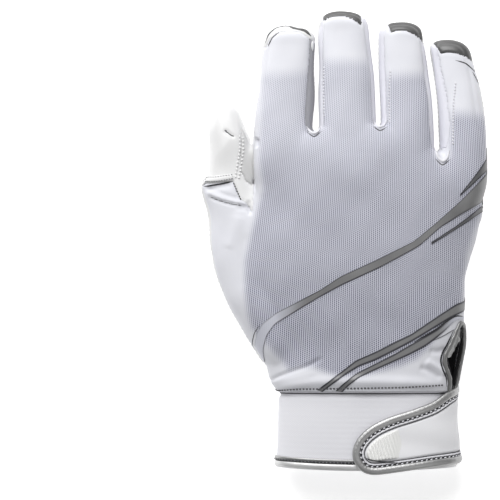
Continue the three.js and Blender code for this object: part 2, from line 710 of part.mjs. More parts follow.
const parts = {
  back_panel: [makeBack(), "knit"],
  palm_panel: [makePalm(), "leather"],
  thumb_end: [makeThumbEnd(), "leather"],
  thumb_web: [makeThumbWeb(), "leather"],
  cuff_seam: [makeSeamRoll(), "side"],
  cuff_band: [makeCuff(), "elastic"],
  hem_binding: [makeHem(), "silver"],
  strap: [makeStrap(), "side"],
  strap_binding: [makeStrapBinding(), "silver"],
  strap_patch: [makePatch(), "rubber"],
  vent_binding: [makeVentBinding(), "silver"],
  vent_tongue: [makeVentTongue(), "silver"],
  label: [makeLabel(), "side"],
};
NEIGHBOURS.forEach(([near, far], i) => (parts[`side_wall_${near}_${far}`] = [makeSide(i), "side"]));
for (const name of Object.keys(FINGERS)) parts[`fingertip_${name}`] = [makeTip(name), "silver"];
parts.fingertip_index[1] = "leather";
for (const [name, rows] of Object.entries(STRIPES)) parts[name] = [makeStripe(rows), "silver"];

// The group, with its origin on the surface under the middle of the glove

const glove = new THREE.Group();
for (const [name, [made, finish]] of Object.entries(parts)) {
  const { vertProperties, triVerts } = made.getMesh();
  const geometry = new THREE.BufferGeometry();
  geometry.setAttribute("position", new THREE.BufferAttribute(new Float32Array(vertProperties), 3));
  geometry.setIndex(new THREE.BufferAttribute(new Uint32Array(triVerts), 1));
  const mesh = new THREE.Mesh(geometry, new THREE.MeshStandardMaterial(COLOURS[finish]));
  mesh.name = name;
  glove.add(mesh);
}
const box = new THREE.Box3().setFromObject(glove);
glove.position.set(-(box.min.x + box.max.x) / 2, -(box.min.y + box.max.y) / 2, -box.min.z);

export default glove;
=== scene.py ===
"""A football receiver's glove for the right hand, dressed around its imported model.

The glove is shaped in millimetres in its own frame: u runs across from the cuff's middle line, v along from
the hem, and z up from the surface that the palm rests on. Each finished piece is then put into the row frame.
"""

import math

import bmesh
import bpy
import numpy as np
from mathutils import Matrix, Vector
from mathutils.bvhtree import BVHTree


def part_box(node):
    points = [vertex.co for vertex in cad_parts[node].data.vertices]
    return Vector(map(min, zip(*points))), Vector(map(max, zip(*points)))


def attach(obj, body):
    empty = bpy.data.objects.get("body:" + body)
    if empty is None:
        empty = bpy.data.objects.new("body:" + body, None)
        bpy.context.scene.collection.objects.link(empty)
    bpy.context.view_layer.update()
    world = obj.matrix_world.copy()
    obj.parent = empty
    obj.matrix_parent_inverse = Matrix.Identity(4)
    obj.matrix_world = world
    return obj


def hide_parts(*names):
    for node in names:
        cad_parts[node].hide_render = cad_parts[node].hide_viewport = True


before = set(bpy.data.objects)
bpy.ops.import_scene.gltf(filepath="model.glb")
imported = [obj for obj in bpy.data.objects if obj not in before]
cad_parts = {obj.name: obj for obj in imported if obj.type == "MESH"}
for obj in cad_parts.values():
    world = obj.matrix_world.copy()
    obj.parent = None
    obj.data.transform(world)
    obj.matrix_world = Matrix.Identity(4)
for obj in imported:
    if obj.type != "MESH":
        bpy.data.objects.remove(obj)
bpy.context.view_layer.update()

MM = 0.001
HEM_BOW = 1.6  # the hem is this much lower in its middle than at its sides
cuff_low, cuff_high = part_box("cuff_band")
MIDDLE_X = (cuff_low.x + cuff_high.x) / 2 / MM
HEM_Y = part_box("hem_binding")[0].y / MM + HEM_BOW

# The photograph's frame is 250 mm wide, half a millimetre to one of its 500 steps.
FRAME_STEPS = 500
STEP = 0.5
FRAME_U, FRAME_V = 345.0, 473.0
SHIFT_U, SHIFT_V = -10.5, -2.6


def seen(points):
    """Places in the photograph's frame as (u, v) on the glove."""
    p = np.array(points, float)
    u = (p[..., 0] - FRAME_U) * STEP + SHIFT_U
    v = (FRAME_V - p[..., 1]) * STEP + SHIFT_V
    return np.stack([u, v], axis=-1)


def new_object(name, data):
    """An object in the scene that shows data."""
    made = bpy.data.objects.new(name, data)
    bpy.context.scene.collection.objects.link(made)
    return made


def mesh_from(name, bm):
    """A mesh with what bm holds. bm is freed."""
    data = bpy.data.meshes.new(name)
    bm.to_mesh(data)
    bm.free()
    return data


# Camera, light and floor

PLANE_Z = 15.0  # height of the plane that fills the frame
LENS = 300.0
SENSOR = 36.0
frame_middle = seen([FRAME_STEPS / 2, FRAME_STEPS / 2])
camera_data = bpy.data.cameras.new("camera")
camera_data.lens = LENS
camera_data.sensor_width = SENSOR
camera_data.clip_end = 20
camera = new_object("camera", camera_data)
bpy.context.scene.camera = camera
camera_height = PLANE_Z + FRAME_STEPS * STEP * LENS / SENSOR
camera.location = (
    (frame_middle[0] + MIDDLE_X) * MM,
    (frame_middle[1] + HEM_Y) * MM,
    camera_height * MM,
)


def soft_light(name, place, size, power):
    """A square lamp that faces the frame's origin. place and size are in metres."""
    data = bpy.data.lights.new(name, "AREA")
    data.size = size
    data.energy = power
    lamp = new_object(name, data)
    lamp.location = place
    lamp.rotation_euler = (-Vector(place)).to_track_quat("-Z", "Y").to_euler()


soft_light("key", (-0.3, 0.85, 0.75), 1.1, 16.4)
soft_light("fill", (0.5, -0.5, 0.9), 0.8, 1.5)

world = bpy.data.worlds.new("studio")
world.use_nodes = True
world.node_tree.nodes["Background"].inputs["Color"].default_value = (1, 1, 1, 1)
world.node_tree.nodes["Background"].inputs["Strength"].default_value = 0.25
bpy.context.scene.world = world
bpy.context.scene.view_settings.view_transform = "Standard"

floor_mesh = bmesh.new()
bmesh.ops.create_grid(floor_mesh, x_segments=2, y_segments=2, size=3.0)
floor = new_object("floor", mesh_from("floor", floor_mesh))
floor_paint = bpy.data.materials.new("floor_paint")
floor_paint.use_nodes = True
floor_shader = floor_paint.node_tree.nodes["Principled BSDF"]
floor_shader.inputs["Base Color"].default_value = (0.92, 0.92, 0.92, 1)
floor_shader.inputs["Roughness"].default_value = 0.9
floor_shader.inputs["Emission Color"].default_value = (1, 1, 1, 1)
floor_shader.inputs["Emission Strength"].default_value = 0.56
floor.data.materials.append(floor_paint)

# Sizes of the glove in millimetres, as its solids have them

CUFF_LENGTH = 36.8
CUFF_HALF = 44.7
CUFF_DEPTH = 29.0
CUFF_LIFT = 1.3
CUFF_MIDDLE_Z = 13.0
CUFF_WALL = 2.0
PALM_DIP = 7.0
SEAM_V = 38.9
HAND_LENGTH = 132.4
HAND_WIDTH = 115.5
HAND_DEPTH = 35.0
CROTCH_V = SEAM_V + HAND_LENGTH
THUMB_EDGE = -56.6
LITTLE_EDGE = 58.9
HEEL_RUN = 0.13
FINGER_ROOT = 22.0
KNUCKLE_DEPTH = 32.0
FINGERTIP_DEPTH = 18.0
FINGER_ARCH = 4.0
FINGERTIP_DOME = 9.0
THUMB_LENGTH = 130.0
THUMB_START = 14.0
THUMB_WIDTH = 26.0
THUMB_DEPTH = 22.0
CAP_V = 141.9
REST_SINK = 2.0  # how far a section's round underside is sunk before it is flattened
PALM_SEAM = 0.42  # height of the palm's seam, as a share of the local depth
BACK_SEAM = 0.72  # height of the seam between a finger's back and its side wall
SQUARE = 2.5  # 2 makes a section round, more draws it out towards a square
FINGER_SQUARE = 2.4
PANEL_WALL = 1.2
VOXEL = 0.88  # size of the even mesh that the cloth is shaped on

# root share, length, width, lean, bow
FINGERS = {
    "index": (-0.386, 63.0, 29.0, 6.8, 0.6),
    "middle": (-0.08, 57.6, 28.4, -2.6, 1.0),
    "ring": (0.188, 58.2, 26.5, -4.4, 0.6),
    "little": (0.405, 66.0, 24.0, -6.4, 4.6),
}
PAIRS = [("index", "middle"), ("middle", "ring"), ("ring", "little")]
# along, thumb side, little side, rise, curl
HAND_ROWS = [
    (0.0, -0.05, -0.03, 0.12, 0.0),
    (0.03, 0.24, 0.07, 0.3, 0.0),
    (0.1, 0.44, 0.2, 0.3, 0.0),
    (0.21, 0.72, 0.32, 0.5, 0.05),
    (0.34, 1.1, 0.31, 0.78, 0.15),
    (0.46, 1.36, 0.32, 0.95, 0.3),
    (0.58, 1.3, 0.5, 1.0, 0.5),
    (0.71, 1.17, 0.7, 1.0, 0.7),
    (0.83, 1.04, 0.84, 0.9, 0.88),
    (0.93, 0.97, 0.97, 0.55, 1.0),
    (1.0, 0.9, 0.88, -0.1, 1.0),
]
# along, girth, drop, arch
FINGER_ROWS = [
    (0.0, 0.94, 0.05, 0.5),
    (0.22, 0.99, 0.05, 0.8),
    (0.4, 1.0, 0.24, 1.0),
    (0.57, 0.99, 0.5, 0.9),
    (0.73, 0.96, 0.72, 0.5),
    (1.0, 0.9, 1.0, 0.0),
]
# along, out, girth, height
THUMB_ROWS = [
    (0.0, -0.72, 1.05, 1.15),
    (0.08, -0.56, 1.28, 1.24),
    (0.21, -0.24, 1.38, 1.28),
    (0.33, 0.05, 1.3, 1.22),
    (0.44, 0.24, 1.14, 1.12),
    (0.55, 0.34, 1.03, 1.03),
    (0.68, 0.5, 1.02, 1.0),
    (0.71, 0.44, 0.87, 0.94),
    (0.82, 0.42, 0.85, 0.9),
    (0.91, 0.5, 0.68, 0.84),
    (0.965, 0.51, 0.48, 0.74),
    (1.0, 0.51, 0.2, 0.58),
]
# along, width, depth
CUFF_ROWS = [(0.0, 1.01, 1.0), (0.5, 0.99, 0.985), (1.0, 0.975, 0.96)]
# along, low, high
SEAM_ROWS = [
    (0.0, 0.3, 0.83),
    (0.6, 0.0, 1.0),
    (0.85, 0.5, 0.95),
    (1.0, 1.0, 0.87),
    (1.5, 0.5, 0.64),
    (2.0, 0.0, 0.51),
]


def mix(low, high, share):
    return low + (high - low) * share


def ease(low, high, value):
    """0 below low, 1 above high, and a smooth step between them."""
    t = np.clip((value - low) / (high - low), 0, 1)
    return t * t * (3 - 2 * t)


def read(rows, at):
    """The columns of a table at places along its first column, smooth and without overshoot."""
    rows = np.array(rows, float)
    x, y = rows[:, 0], rows[:, 1:]
    at = np.asarray(at, float)
    rise = np.diff(y, axis=0) / np.diff(x)[:, None]
    slope = np.zeros_like(y)
    before, after = rise[:-1], rise[1:]
    same = before * after > 0
    slope[1:-1][same] = 2 * before[same] * after[same] / (before[same] + after[same])
    slope[0], slope[-1] = rise[0], rise[-1]
    i = np.clip(np.searchsorted(x, at, side="right") - 1, 0, len(x) - 2)
    run = (x[i + 1] - x[i])[..., None]
    t = np.clip((at - x[i]) / (x[i + 1] - x[i]), 0, 1)[..., None]
    near = (2 * t**3 - 3 * t**2 + 1) * y[i] + (t**3 - 2 * t**2 + t) * run * slope[i]
    far = (3 * t**2 - 2 * t**3) * y[i + 1] + (t**3 - t**2) * run * slope[i + 1]
    return np.moveaxis(near + far, -1, 0)


def unit(ways):
    """Directions drawn to length 1."""
    return ways / np.maximum(np.linalg.norm(ways, axis=-1, keepdims=True), 1e-9)


def round_turns(count):
    return np.arange(count) * 2 * np.pi / count


def squared(turn, square=SQUARE):
    """How far across and how far up a turn points, on a circle drawn out towards a square."""
    c, s = np.cos(turn), np.sin(turn)
    return np.sign(c) * np.abs(c) ** (2 / square), np.sign(s) * np.abs(s) ** (2 / square)


# Mesh helpers


def skin(points, around=True, capped=False):
    """A grid of faces through rows of points. around joins each row's ends."""
    points = np.asarray(points, float)
    if around:
        points = np.concatenate([points, points[:, :1]], axis=1)
    rows, count, _ = points.shape
    bm = bmesh.new()
    bmesh.ops.create_grid(bm, x_segments=count - 1, y_segments=rows - 1, size=0.5)
    for vert, place in zip(bm.verts, points.reshape(-1, 3)):
        vert.co = place
    if around:
        bmesh.ops.remove_doubles(bm, verts=bm.verts, dist=1e-4)
    if capped:
        bmesh.ops.holes_fill(bm, edges=bm.edges, sides=0)
        bmesh.ops.recalc_face_normals(bm, faces=bm.faces)
    return bm


def turned_out(bm, middle):
    """Turns the faces of an open tube away from a point inside it."""
    out = sum((f.calc_center_median() - Vector(middle)).dot(f.normal) * f.calc_area() for f in bm.faces)
    if out < 0:
        bmesh.ops.reverse_faces(bm, faces=bm.faces)


def section(middle_u, v, half, top, bottom, count, square=SQUARE):
    """One round section of a soft tube, drawn out towards a square."""
    across, up = squared(round_turns(count), square)
    centre = mix(bottom, top, PALM_SEAM)
    reach = np.where(up > 0, top - centre, centre - bottom + REST_SINK)
    return np.stack([middle_u + across * half, np.full(count, v), centre + up * reach], axis=1)


def points_of(bm):
    return np.array([v.co for v in bm.verts], float)


def set_points(bm, points):
    for vert, place in zip(bm.verts, points):
        vert.co = place


def set_layer(bm, name, values):
    """Stores one value or one place at each vertex, for the finishes to read."""
    layers = bm.verts.layers.float_vector if np.ndim(values) == 2 else bm.verts.layers.float
    layer = layers.new(name)
    for vert, value in zip(bm.verts, np.asarray(values, float).tolist()):
        vert[layer] = value


def on_flat(points):
    """Places on the flat cloth, from the first two columns of points."""
    return np.stack([points[:, 0], points[:, 1], np.zeros(len(points))], axis=1)


def face_middles(bm):
    return np.array([f.calc_center_median() for f in bm.faces], float)


def keep_faces(bm, kept):
    """Deletes the faces for which kept is false."""
    bm.faces.ensure_lookup_table()
    spare = [bm.faces[i] for i in np.flatnonzero(~kept)]
    bmesh.ops.delete(bm, geom=spare, context="FACES")


def face_up(bm):
    """Turns a sheet over if most of it faces down."""
    bm.normal_update()
    if sum(f.normal.z for f in bm.faces) < 0:
        bmesh.ops.reverse_faces(bm, faces=bm.faces)


def distance_to(line, uv, closed=False):
    """How far points lie from a line in the plane, and the share of it where their nearest place is."""
    line = np.asarray(line, float)
    if closed:
        line = np.concatenate([line, line[:1]])
    lengths = np.linalg.norm(np.diff(line, axis=0), axis=1)
    start = np.concatenate([[0], np.cumsum(lengths)])
    best = np.full(len(uv), 1e9)
    along = np.zeros(len(uv))
    for i, length in enumerate(lengths):
        step = line[i + 1] - line[i]
        t = np.clip(((uv - line[i]) @ step) / max(length**2, 1e-12), 0, 1)
        away = np.linalg.norm(uv - line[i] - t[:, None] * step, axis=1)
        nearer = away < best
        best[nearer] = away[nearer]
        along[nearer] = (start[i] + t[nearer] * length) / start[-1]
    return best, along


def outside(outline, uv):
    """Signed distance from an outline in the plane: negative inside it."""
    outline = np.asarray(outline, float)
    away, _ = distance_to(outline, uv, closed=True)
    inside = np.zeros(len(uv), bool)
    for a, b in zip(outline, np.roll(outline, -1, axis=0)):
        crosses = (a[1] > uv[:, 1]) != (b[1] > uv[:, 1])
        with np.errstate(divide="ignore", invalid="ignore"):
            at = (b[0] - a[0]) * (uv[:, 1] - a[1]) / (b[1] - a[1]) + a[0]
        inside ^= crosses & (uv[:, 0] < at)
    return np.where(inside, -away, away)


CUT_NEAR = 0.1  # a corner this share of an edge from a cut is taken as on it


def cut(bm, value, where=None):
    """Cuts the faces along the line on which value(points) is zero, where where(points) is true."""
    points = points_of(bm)
    level = value(points)
    allowed = np.ones(len(points), bool) if where is None else where(points)
    bm.verts.index_update()
    bm.edges.ensure_lookup_table()
    bm.verts.ensure_lookup_table()
    ends = np.array([(e.verts[0].index, e.verts[1].index) for e in bm.edges])
    a, b = level[ends[:, 0]], level[ends[:, 1]]
    both = allowed[ends[:, 0]] & allowed[ends[:, 1]]
    crossing = (a * b < 0) & both
    share = np.where(crossing, a / np.where(crossing, a - b, 1), 0)
    level[ends[crossing & (share < CUT_NEAR), 0]] = 0
    level[ends[crossing & (share > 1 - CUT_NEAR), 1]] = 0
    a, b = level[ends[:, 0]], level[ends[:, 1]]
    crossing = np.flatnonzero((a * b < 0) & both)
    on_line = [bm.verts[i] for i in np.flatnonzero((level == 0) & allowed)]
    edges = [bm.edges[i] for i in crossing]
    starts = [bm.verts[i] for i in ends[crossing, 0]]
    for edge, start, t in zip(edges, starts, share[crossing]):
        on_line.append(bmesh.utils.edge_split(edge, start, t)[1])
    bmesh.ops.connect_verts(bm, verts=on_line)
    bm.verts.index_update()


def joined(parts):
    """Several meshes as one."""
    whole = bmesh.new()
    for part in parts:
        data = mesh_from("part", part)
        whole.from_mesh(data)
        bpy.data.meshes.remove(data)
    return whole


def even_mesh(parts):
    """Joins closed forms into one even mesh."""
    data = mesh_from("form", joined(parts))
    form = new_object("form", data)
    remesh = form.modifiers.new("even", "REMESH")
    remesh.mode = "VOXEL"
    remesh.voxel_size = VOXEL
    bpy.context.view_layer.update()
    shaped = form.evaluated_get(bpy.context.evaluated_depsgraph_get()).to_mesh()
    bm = bmesh.new()
    bm.from_mesh(shaped)
    bpy.data.objects.remove(form)
    bpy.data.meshes.remove(data)
    keep_largest(bm)
    return bm


def keep_largest(bm):
    """Deletes every separate shell but the largest, such as pockets left inside."""
    bm.verts.index_update()
    shell = np.full(len(bm.verts), -1)
    sizes = []
    for first in bm.verts:
        if shell[first.index] >= 0:
            continue
        shell[first.index] = len(sizes)
        waiting, size = [first], 0
        while waiting:
            vert = waiting.pop()
            size += 1
            for edge in vert.link_edges:
                other = edge.other_vert(vert)
                if shell[other.index] < 0:
                    shell[other.index] = len(sizes)
                    waiting.append(other)
        sizes.append(size)

    largest = int(np.argmax(sizes))
    bmesh.ops.delete(bm, geom=[v for v in bm.verts if shell[v.index] != largest], context="VERTS")


def open_lines(bm):
    """The open edges of a sheet, as lines of vertices."""
    left = {e.index: e for e in bm.edges if e.is_boundary}
    lines = []
    while left:
        _, edge = left.popitem()
        line = list(edge.verts)
        while True:
            following = next((e for e in line[-1].link_edges if e.index in left), None)
            if following is None:
                break
            del left[following.index]
            line.append(following.other_vert(line[-1]))
        lines.append(line)
    return lines


def relax(bm, times, share=0.5):
    """Moves each vertex towards the middle of its neighbours, by a share that may differ."""
    points = points_of(bm)
    bm.verts.index_update()
    ends = np.array([(e.verts[0].index, e.verts[1].index) for e in bm.edges])
    count = np.bincount(ends.ravel(), minlength=len(points))[:, None]
    for _ in range(times):
        total = np.zeros_like(points)
        for axis in range(3):
            total[:, axis] = np.bincount(
                ends.ravel(), points[ends[:, ::-1].ravel(), axis], minlength=len(points)
            )
        points += (total / count - points) * share
    set_points(bm, points)


def smooth_line(points, times, closed=False):
    """Evens out a line of points, keeping its ends."""
    points = np.array(points, float)
    for _ in range(times):
        if closed:
            points = (np.roll(points, 1, axis=0) + 2 * points + np.roll(points, -1, axis=0)) / 4
        else:
            points[1:-1] = (points[:-2] + 2 * points[1:-1] + points[2:]) / 4
    return points


def spaced(line, step, closed=False):
    """A line drawn again with points an even step apart."""
    line = np.asarray(line, float)
    if closed:
        line = np.concatenate([line, line[:1]])
    lengths = np.concatenate([[0], np.cumsum(np.linalg.norm(np.diff(line, axis=0), axis=1))])
    count = max(2, round(lengths[-1] / step) + 1)
    at = np.linspace(0, lengths[-1], count)
    if closed:
        at = at[:-1]
    return np.stack([np.interp(at, lengths, line[:, k]) for k in range(line.shape[1])], axis=1)


def curved(line, step=0.8, closed=False, times=6):
    """A bent line through given corners, rounded and evenly spaced."""
    return smooth_line(spaced(line, step, closed), times, closed)


def directions(points, closed=False):
    """The direction in which a line runs at each of its points."""
    if closed:
        run = np.roll(points, -1, axis=0) - np.roll(points, 1, axis=0)
    else:
        run = np.gradient(points, axis=0)
    return unit(run)


def sweep(points, normals, wide, high, closed=False, square=2.2, lift=0.0, count=12):
    """A cord along a line on a surface. wide and high are half sizes, one for all or one each."""
    along = directions(points, closed)
    side = unit(np.cross(along, normals))
    up = np.cross(side, along)
    out, rise = squared(round_turns(count), square)
    wide = np.broadcast_to(np.asarray(wide, float), (len(points),))[:, None, None]
    high = np.broadcast_to(np.asarray(high, float), (len(points),))[:, None, None]
    centre = points[:, None] + up[:, None] * lift
    rows = centre + side[:, None] * out[None, :, None] * wide + up[:, None] * rise[None, :, None] * high
    if closed:
        rows = np.concatenate([rows, rows[:1]])
        bm = skin(rows)
        bmesh.ops.remove_doubles(bm, verts=bm.verts, dist=1e-4)
        bmesh.ops.recalc_face_normals(bm, faces=bm.faces)
        return bm
    return skin(rows, capped=True)


def stitches(points, normals, pitch, length, thick, lift=0.0, tilt=0.0, closed=False):
    """A row of short threads on a line. tilt turns each aside from the line."""
    line = spaced(np.concatenate([points, normals], axis=1), pitch, closed)
    place, up = line[:, :3], line[:, 3:]
    along = directions(place, closed)
    bm = bmesh.new()
    for p, n, d in zip(place, up, along):
        up_way = Vector(n).normalized()
        way = Vector(d)
        side = up_way.cross(way).normalized()
        way = (way + side * tilt).normalized()
        side = up_way.cross(way).normalized()
        made = bmesh.ops.create_uvsphere(bm, u_segments=6, v_segments=4, radius=1.0)["verts"]
        for vert in made:
            x, y, z = vert.co
            level = Vector(p) + way * z * length / 2 + side * x * thick / 2
            vert.co = level + up_way * (y * thick / 2 + lift)
    return bm


finishes = {}


def piece(name, bm, look, replaces=(), wall=0.0):
    """Puts a mesh in millimetres into the row frame as a piece of the glove."""
    set_points(bm, (points_of(bm) + np.array([MIDDLE_X, HEM_Y, 0])) * MM)
    for face in bm.faces:
        face.smooth = True
    obj = new_object(name, mesh_from(name, bm))
    obj.data.materials.append(finishes[look])
    if wall:
        solid = obj.modifiers.new("wall", "SOLIDIFY")
        solid.thickness = wall * MM
        solid.offset = -1
        solid.use_even_offset = False
        solid.use_rim = True
    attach(obj, "root")
    if replaces:
        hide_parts(*replaces)


# Finishes

SIDE_TONE = 0.74  # how pale the fingers' side walls are
ELASTIC_RIB = 2.5  # from one of the cuff's ribs to the next


class Web:
    """Adds nodes to one material or node group."""

    def __init__(self, tree):
        self.tree = tree

    def node(self, kind, inputs=None, **settings):
        made = self.tree.nodes.new("ShaderNode" + kind)
        for name, value in settings.items():
            setattr(made, name, value)
        for name, value in (inputs or {}).items():
            self.put(made.inputs[name], value)
        return made

    def put(self, socket, value):
        if isinstance(value, bpy.types.NodeSocket):
            self.tree.links.new(value, socket)
        else:
            socket.default_value = value

    def sum(self, operation, *values):
        return self.node("Math", dict(enumerate(values)), operation=operation).outputs[0]

    def times(self, value, factor):
        return self.sum("MULTIPLY", value, factor)

    def blend(self, share, low, high):
        return self.node("Mix", {0: share, 6: low, 7: high}, data_type="RGBA").outputs[2]

    def spread(self, value, low, high):
        """A value from 0 to 1, spread from low to high."""
        return self.node("MapRange", {"Value": value, "To Min": low, "To Max": high}).outputs[0]

    def step(self, value, none, full):
        """0 where the value is none, 1 where it is full, and a smooth step between them."""
        inputs = {"Value": value, "From Min": none, "From Max": full}
        return self.node("MapRange", inputs, interpolation_type="SMOOTHSTEP").outputs[0]

    def parts(self, place):
        """The separate measures of a place."""
        return self.node("SeparateXYZ", {0: place}).outputs

    def group(self, tree, **inputs):
        return self.node("Group", inputs, node_tree=tree).outputs


SOCKETS = {"value": "NodeSocketFloat", "vector": "NodeSocketVector", "color": "NodeSocketColor"}


def effect(name, inputs, outputs, make):
    """A node group with named inputs and outputs."""
    tree = bpy.data.node_groups.new(name, "ShaderNodeTree")
    for label, kind in inputs:
        tree.interface.new_socket(label, in_out="INPUT", socket_type=SOCKETS[kind])
    for label, kind in outputs:
        tree.interface.new_socket(label, in_out="OUTPUT", socket_type=SOCKETS[kind])
    web = Web(tree)
    entry = tree.nodes.new("NodeGroupInput")
    result = tree.nodes.new("NodeGroupOutput")
    made = make(web, entry.outputs)
    for label, value in made.items():
        web.put(result.inputs[label], value)
    return tree


def open_mesh(web, given):
    """Rows of small holes, each row half a hole on from the last, with Pitch between rows."""
    x, y, _ = web.parts(given["Place"])
    x = web.sum("DIVIDE", x, given["Pitch"])
    y = web.sum("DIVIDE", y, given["Pitch"])
    odd = web.sum("MODULO", web.sum("FLOOR", x), 2.0)
    shifted = web.sum("ADD", y, web.times(odd, 0.5))
    across = web.sum("SUBTRACT", web.sum("FRACT", x), 0.5)
    along = web.times(web.sum("SUBTRACT", web.sum("FRACT", shifted), 0.5), 0.8)
    far = web.sum("SQRT", web.sum("ADD", web.times(across, across), web.times(along, along)))
    hole = web.step(far, 0.36, 0.16)
    rib = web.step(web.sum("ABSOLUTE", across), 0.5, 0.2)
    both = web.sum("ADD", web.times(hole, 0.7), web.times(rib, 0.3))
    return {"Holes": web.times(both, given["Fade"])}


def fine_grain(web, given):
    """Small bumps and slow changes of tone."""
    place = given["Place"]
    small = web.node("TexNoise", {"Vector": place, "Scale": given["Scale"], "Detail": 3.0, "Roughness": 0.6})
    slow = web.node("TexNoise", {"Vector": place, "Scale": 90.0, "Detail": 2.0, "Roughness": 0.5})
    return {"Bumps": small.outputs[0], "Tone": slow.outputs[0]}


def cross_weave(web, given):
    """Threads that pass over and under each other, Pitch apart."""
    turns = web.sum("DIVIDE", 2 * math.pi, given["Pitch"])
    x, y, _ = web.parts(given["Place"])
    warp = web.sum("SINE", web.times(x, turns))
    weft = web.sum("SINE", web.times(y, turns))
    return {"Threads": web.sum("MULTIPLY_ADD", web.times(warp, weft), 0.5, 0.5)}


MESH = effect(
    "open_mesh", [("Place", "vector"), ("Pitch", "value"), ("Fade", "value")], [("Holes", "value")],
        open_mesh
)
GRAIN = effect(
    "fine_grain", [("Place", "vector"), ("Scale", "value")], [("Bumps", "value"), ("Tone", "value")],
        fine_grain
)
WEAVE = effect("cross_weave", [("Place", "vector"), ("Pitch", "value")], [("Threads", "value")], cross_weave)


def finish(name, make, **settings):
    """A named material. settings are the shader's own constants."""
    made = bpy.data.materials.new(name)
    made.use_nodes = True
    shader = made.node_tree.nodes["Principled BSDF"]
    for label, value in settings.items():
        shader.inputs[label.replace("_", " ")].default_value = value
    web = Web(made.node_tree)
    for label, value in make(web).items():
        web.put(shader.inputs[label], value)
    finishes[name] = made


def rgb(red, green, blue):
    return (red, green, blue, 1.0)


def grey(tone, blue=1.0):
    """A grey, with its blue drawn up or down by a factor."""
    return (tone, tone, tone * blue, 1.0)


def object_place(web):
    return web.node("TexCoord").outputs["Object"]


def cloth_place(web):
    """The place on the cloth in millimetres, which follows the surface down its sides."""
    return web.node("Attribute", attribute_name="cloth").outputs["Vector"]


def value_of(web, name):
    return web.node("Attribute", attribute_name=name).outputs["Fac"]


def grain_of(web, scale):
    return web.group(GRAIN, Place=object_place(web), Scale=scale)


def threads_of(web, place, pitch):
    return web.group(WEAVE, Place=place, Pitch=pitch)["Threads"]


def bump(web, height, depth, strength=0.5):
    """The normal over a height whose full step is depth millimetres."""
    return web.node("Bump", {"Strength": strength, "Distance": depth * MM, "Height": height}).outputs[0]


def knit(web):
    holes = web.group(MESH, Place=cloth_place(web), Pitch=1.02, Fade=value_of(web, "fade"))["Holes"]
    grain = grain_of(web, 2600.0)
    body = web.blend(value_of(web, "fade"), rgb(0.75, 0.755, 0.795), rgb(0.655, 0.665, 0.748))
    toned = web.blend(web.times(grain["Tone"], 0.2), body, rgb(0.5, 0.51, 0.6))
    height = web.sum("SUBTRACT", web.times(grain["Bumps"], 0.25), holes)
    # the mesh's holes are painted near-black: painted shade inside the holes
    colour = web.blend(holes, toned, rgb(0.1, 0.1, 0.16))
    return {"Base Color": colour, "Normal": bump(web, height, 0.22, 0.7)}


def leather(high, low):
    def make(web):
        grain = grain_of(web, 1500.0)
        place = {"Vector": object_place(web), "Scale": 900.0}
        cells = web.node("TexVoronoi", place, feature="DISTANCE_TO_EDGE").outputs[0]
        color = web.blend(web.times(grain["Tone"], 0.3), grey(high), grey(low, 1.01))
        rough = web.spread(grain["Tone"], 0.32, 0.5)
        height = web.sum("ADD", web.times(grain["Bumps"], 0.5), web.sum("MINIMUM", cells, 0.12))
        return {"Base Color": color, "Roughness": rough, "Normal": bump(web, height, 0.1)}

    return make


def fine_fabric(tone):
    def make(web):
        threads = threads_of(web, cloth_place(web), 0.7)
        drift = web.times(grain_of(web, 2200.0)["Tone"], 0.2)
        color = web.blend(drift, grey(tone, 1.08), grey(tone * 0.8, 1.1))
        color = web.blend(web.times(threads, 0.12), color, grey(tone, 1.12))
        return {"Base Color": color, "Normal": bump(web, threads, 0.08)}

    return make


def side_fabric_painted_shade(web):
    """Painted shade: grey on the index finger's side of the gap, where the wall lies in shadow, and pale on
    the middle finger's.
    """
    dark, pale = fine_fabric(0.34)(web), fine_fabric(SIDE_TONE)(web)
    gap_x = float(seen([316, 0])[0] + MIDDLE_X) * MM
    past_gap = web.sum("GREATER_THAN", web.parts(object_place(web))[0], gap_x)
    return {**dark, "Base Color": web.blend(past_gap, dark["Base Color"], pale["Base Color"])}


def strap_fabric(web):
    grain = grain_of(web, 1500.0)
    color = web.blend(web.times(grain["Tone"], 0.25), rgb(0.88, 0.88, 0.9), rgb(0.78, 0.785, 0.82))
    color = web.blend(web.times(grain["Bumps"], 0.12), color, rgb(0.5, 0.5, 0.55))
    height = web.sum("ADD", threads_of(web, cloth_place(web), 0.55), grain["Bumps"])
    return {"Base Color": color, "Normal": bump(web, height, 0.08)}


def elastic(web):
    threads = threads_of(web, cloth_place(web), 0.9)
    x, y, _ = web.parts(cloth_place(web))
    rib = web.sum("SINE", web.times(y, 2 * math.pi / ELASTIC_RIB))
    flat = web.node("CombineXYZ", {"X": web.times(x, 0.12), "Y": y}).outputs[0]
    streaks = web.node("TexNoise", {"Vector": flat, "Scale": 1.6, "Detail": 2.0}).outputs[0]
    drift = web.times(grain_of(web, 2400.0)["Tone"], 0.16)
    color = web.blend(drift, rgb(0.83, 0.83, 0.86), rgb(0.72, 0.725, 0.77))
    color = web.blend(web.times(threads, 0.16), color, rgb(0.6, 0.6, 0.67))
    color = web.blend(web.times(streaks, 0.3), color, rgb(0.64, 0.64, 0.7))
    height = web.sum("ADD", web.times(rib, 0.05), web.times(threads, 0.5))
    return {"Base Color": color, "Normal": bump(web, height, 0.12, 0.6)}


def trim(low, high):
    def make(web):
        grain = grain_of(web, 700.0)
        color = web.blend(grain["Tone"], grey(low), grey(high))
        threads = threads_of(web, object_place(web), 0.7 * MM)
        rough = web.spread(grain["Bumps"], 0.28, 0.5)
        return {"Base Color": color, "Roughness": rough, "Normal": bump(web, threads, 0.06)}

    return make


def silver_leather(web):
    grain = grain_of(web, 1300.0)
    color = web.blend(grain["Tone"], grey(0.1), grey(0.17))
    rough = web.spread(grain["Bumps"], 0.36, 0.6)
    return {"Base Color": color, "Roughness": rough, "Normal": bump(web, grain["Bumps"], 0.08)}


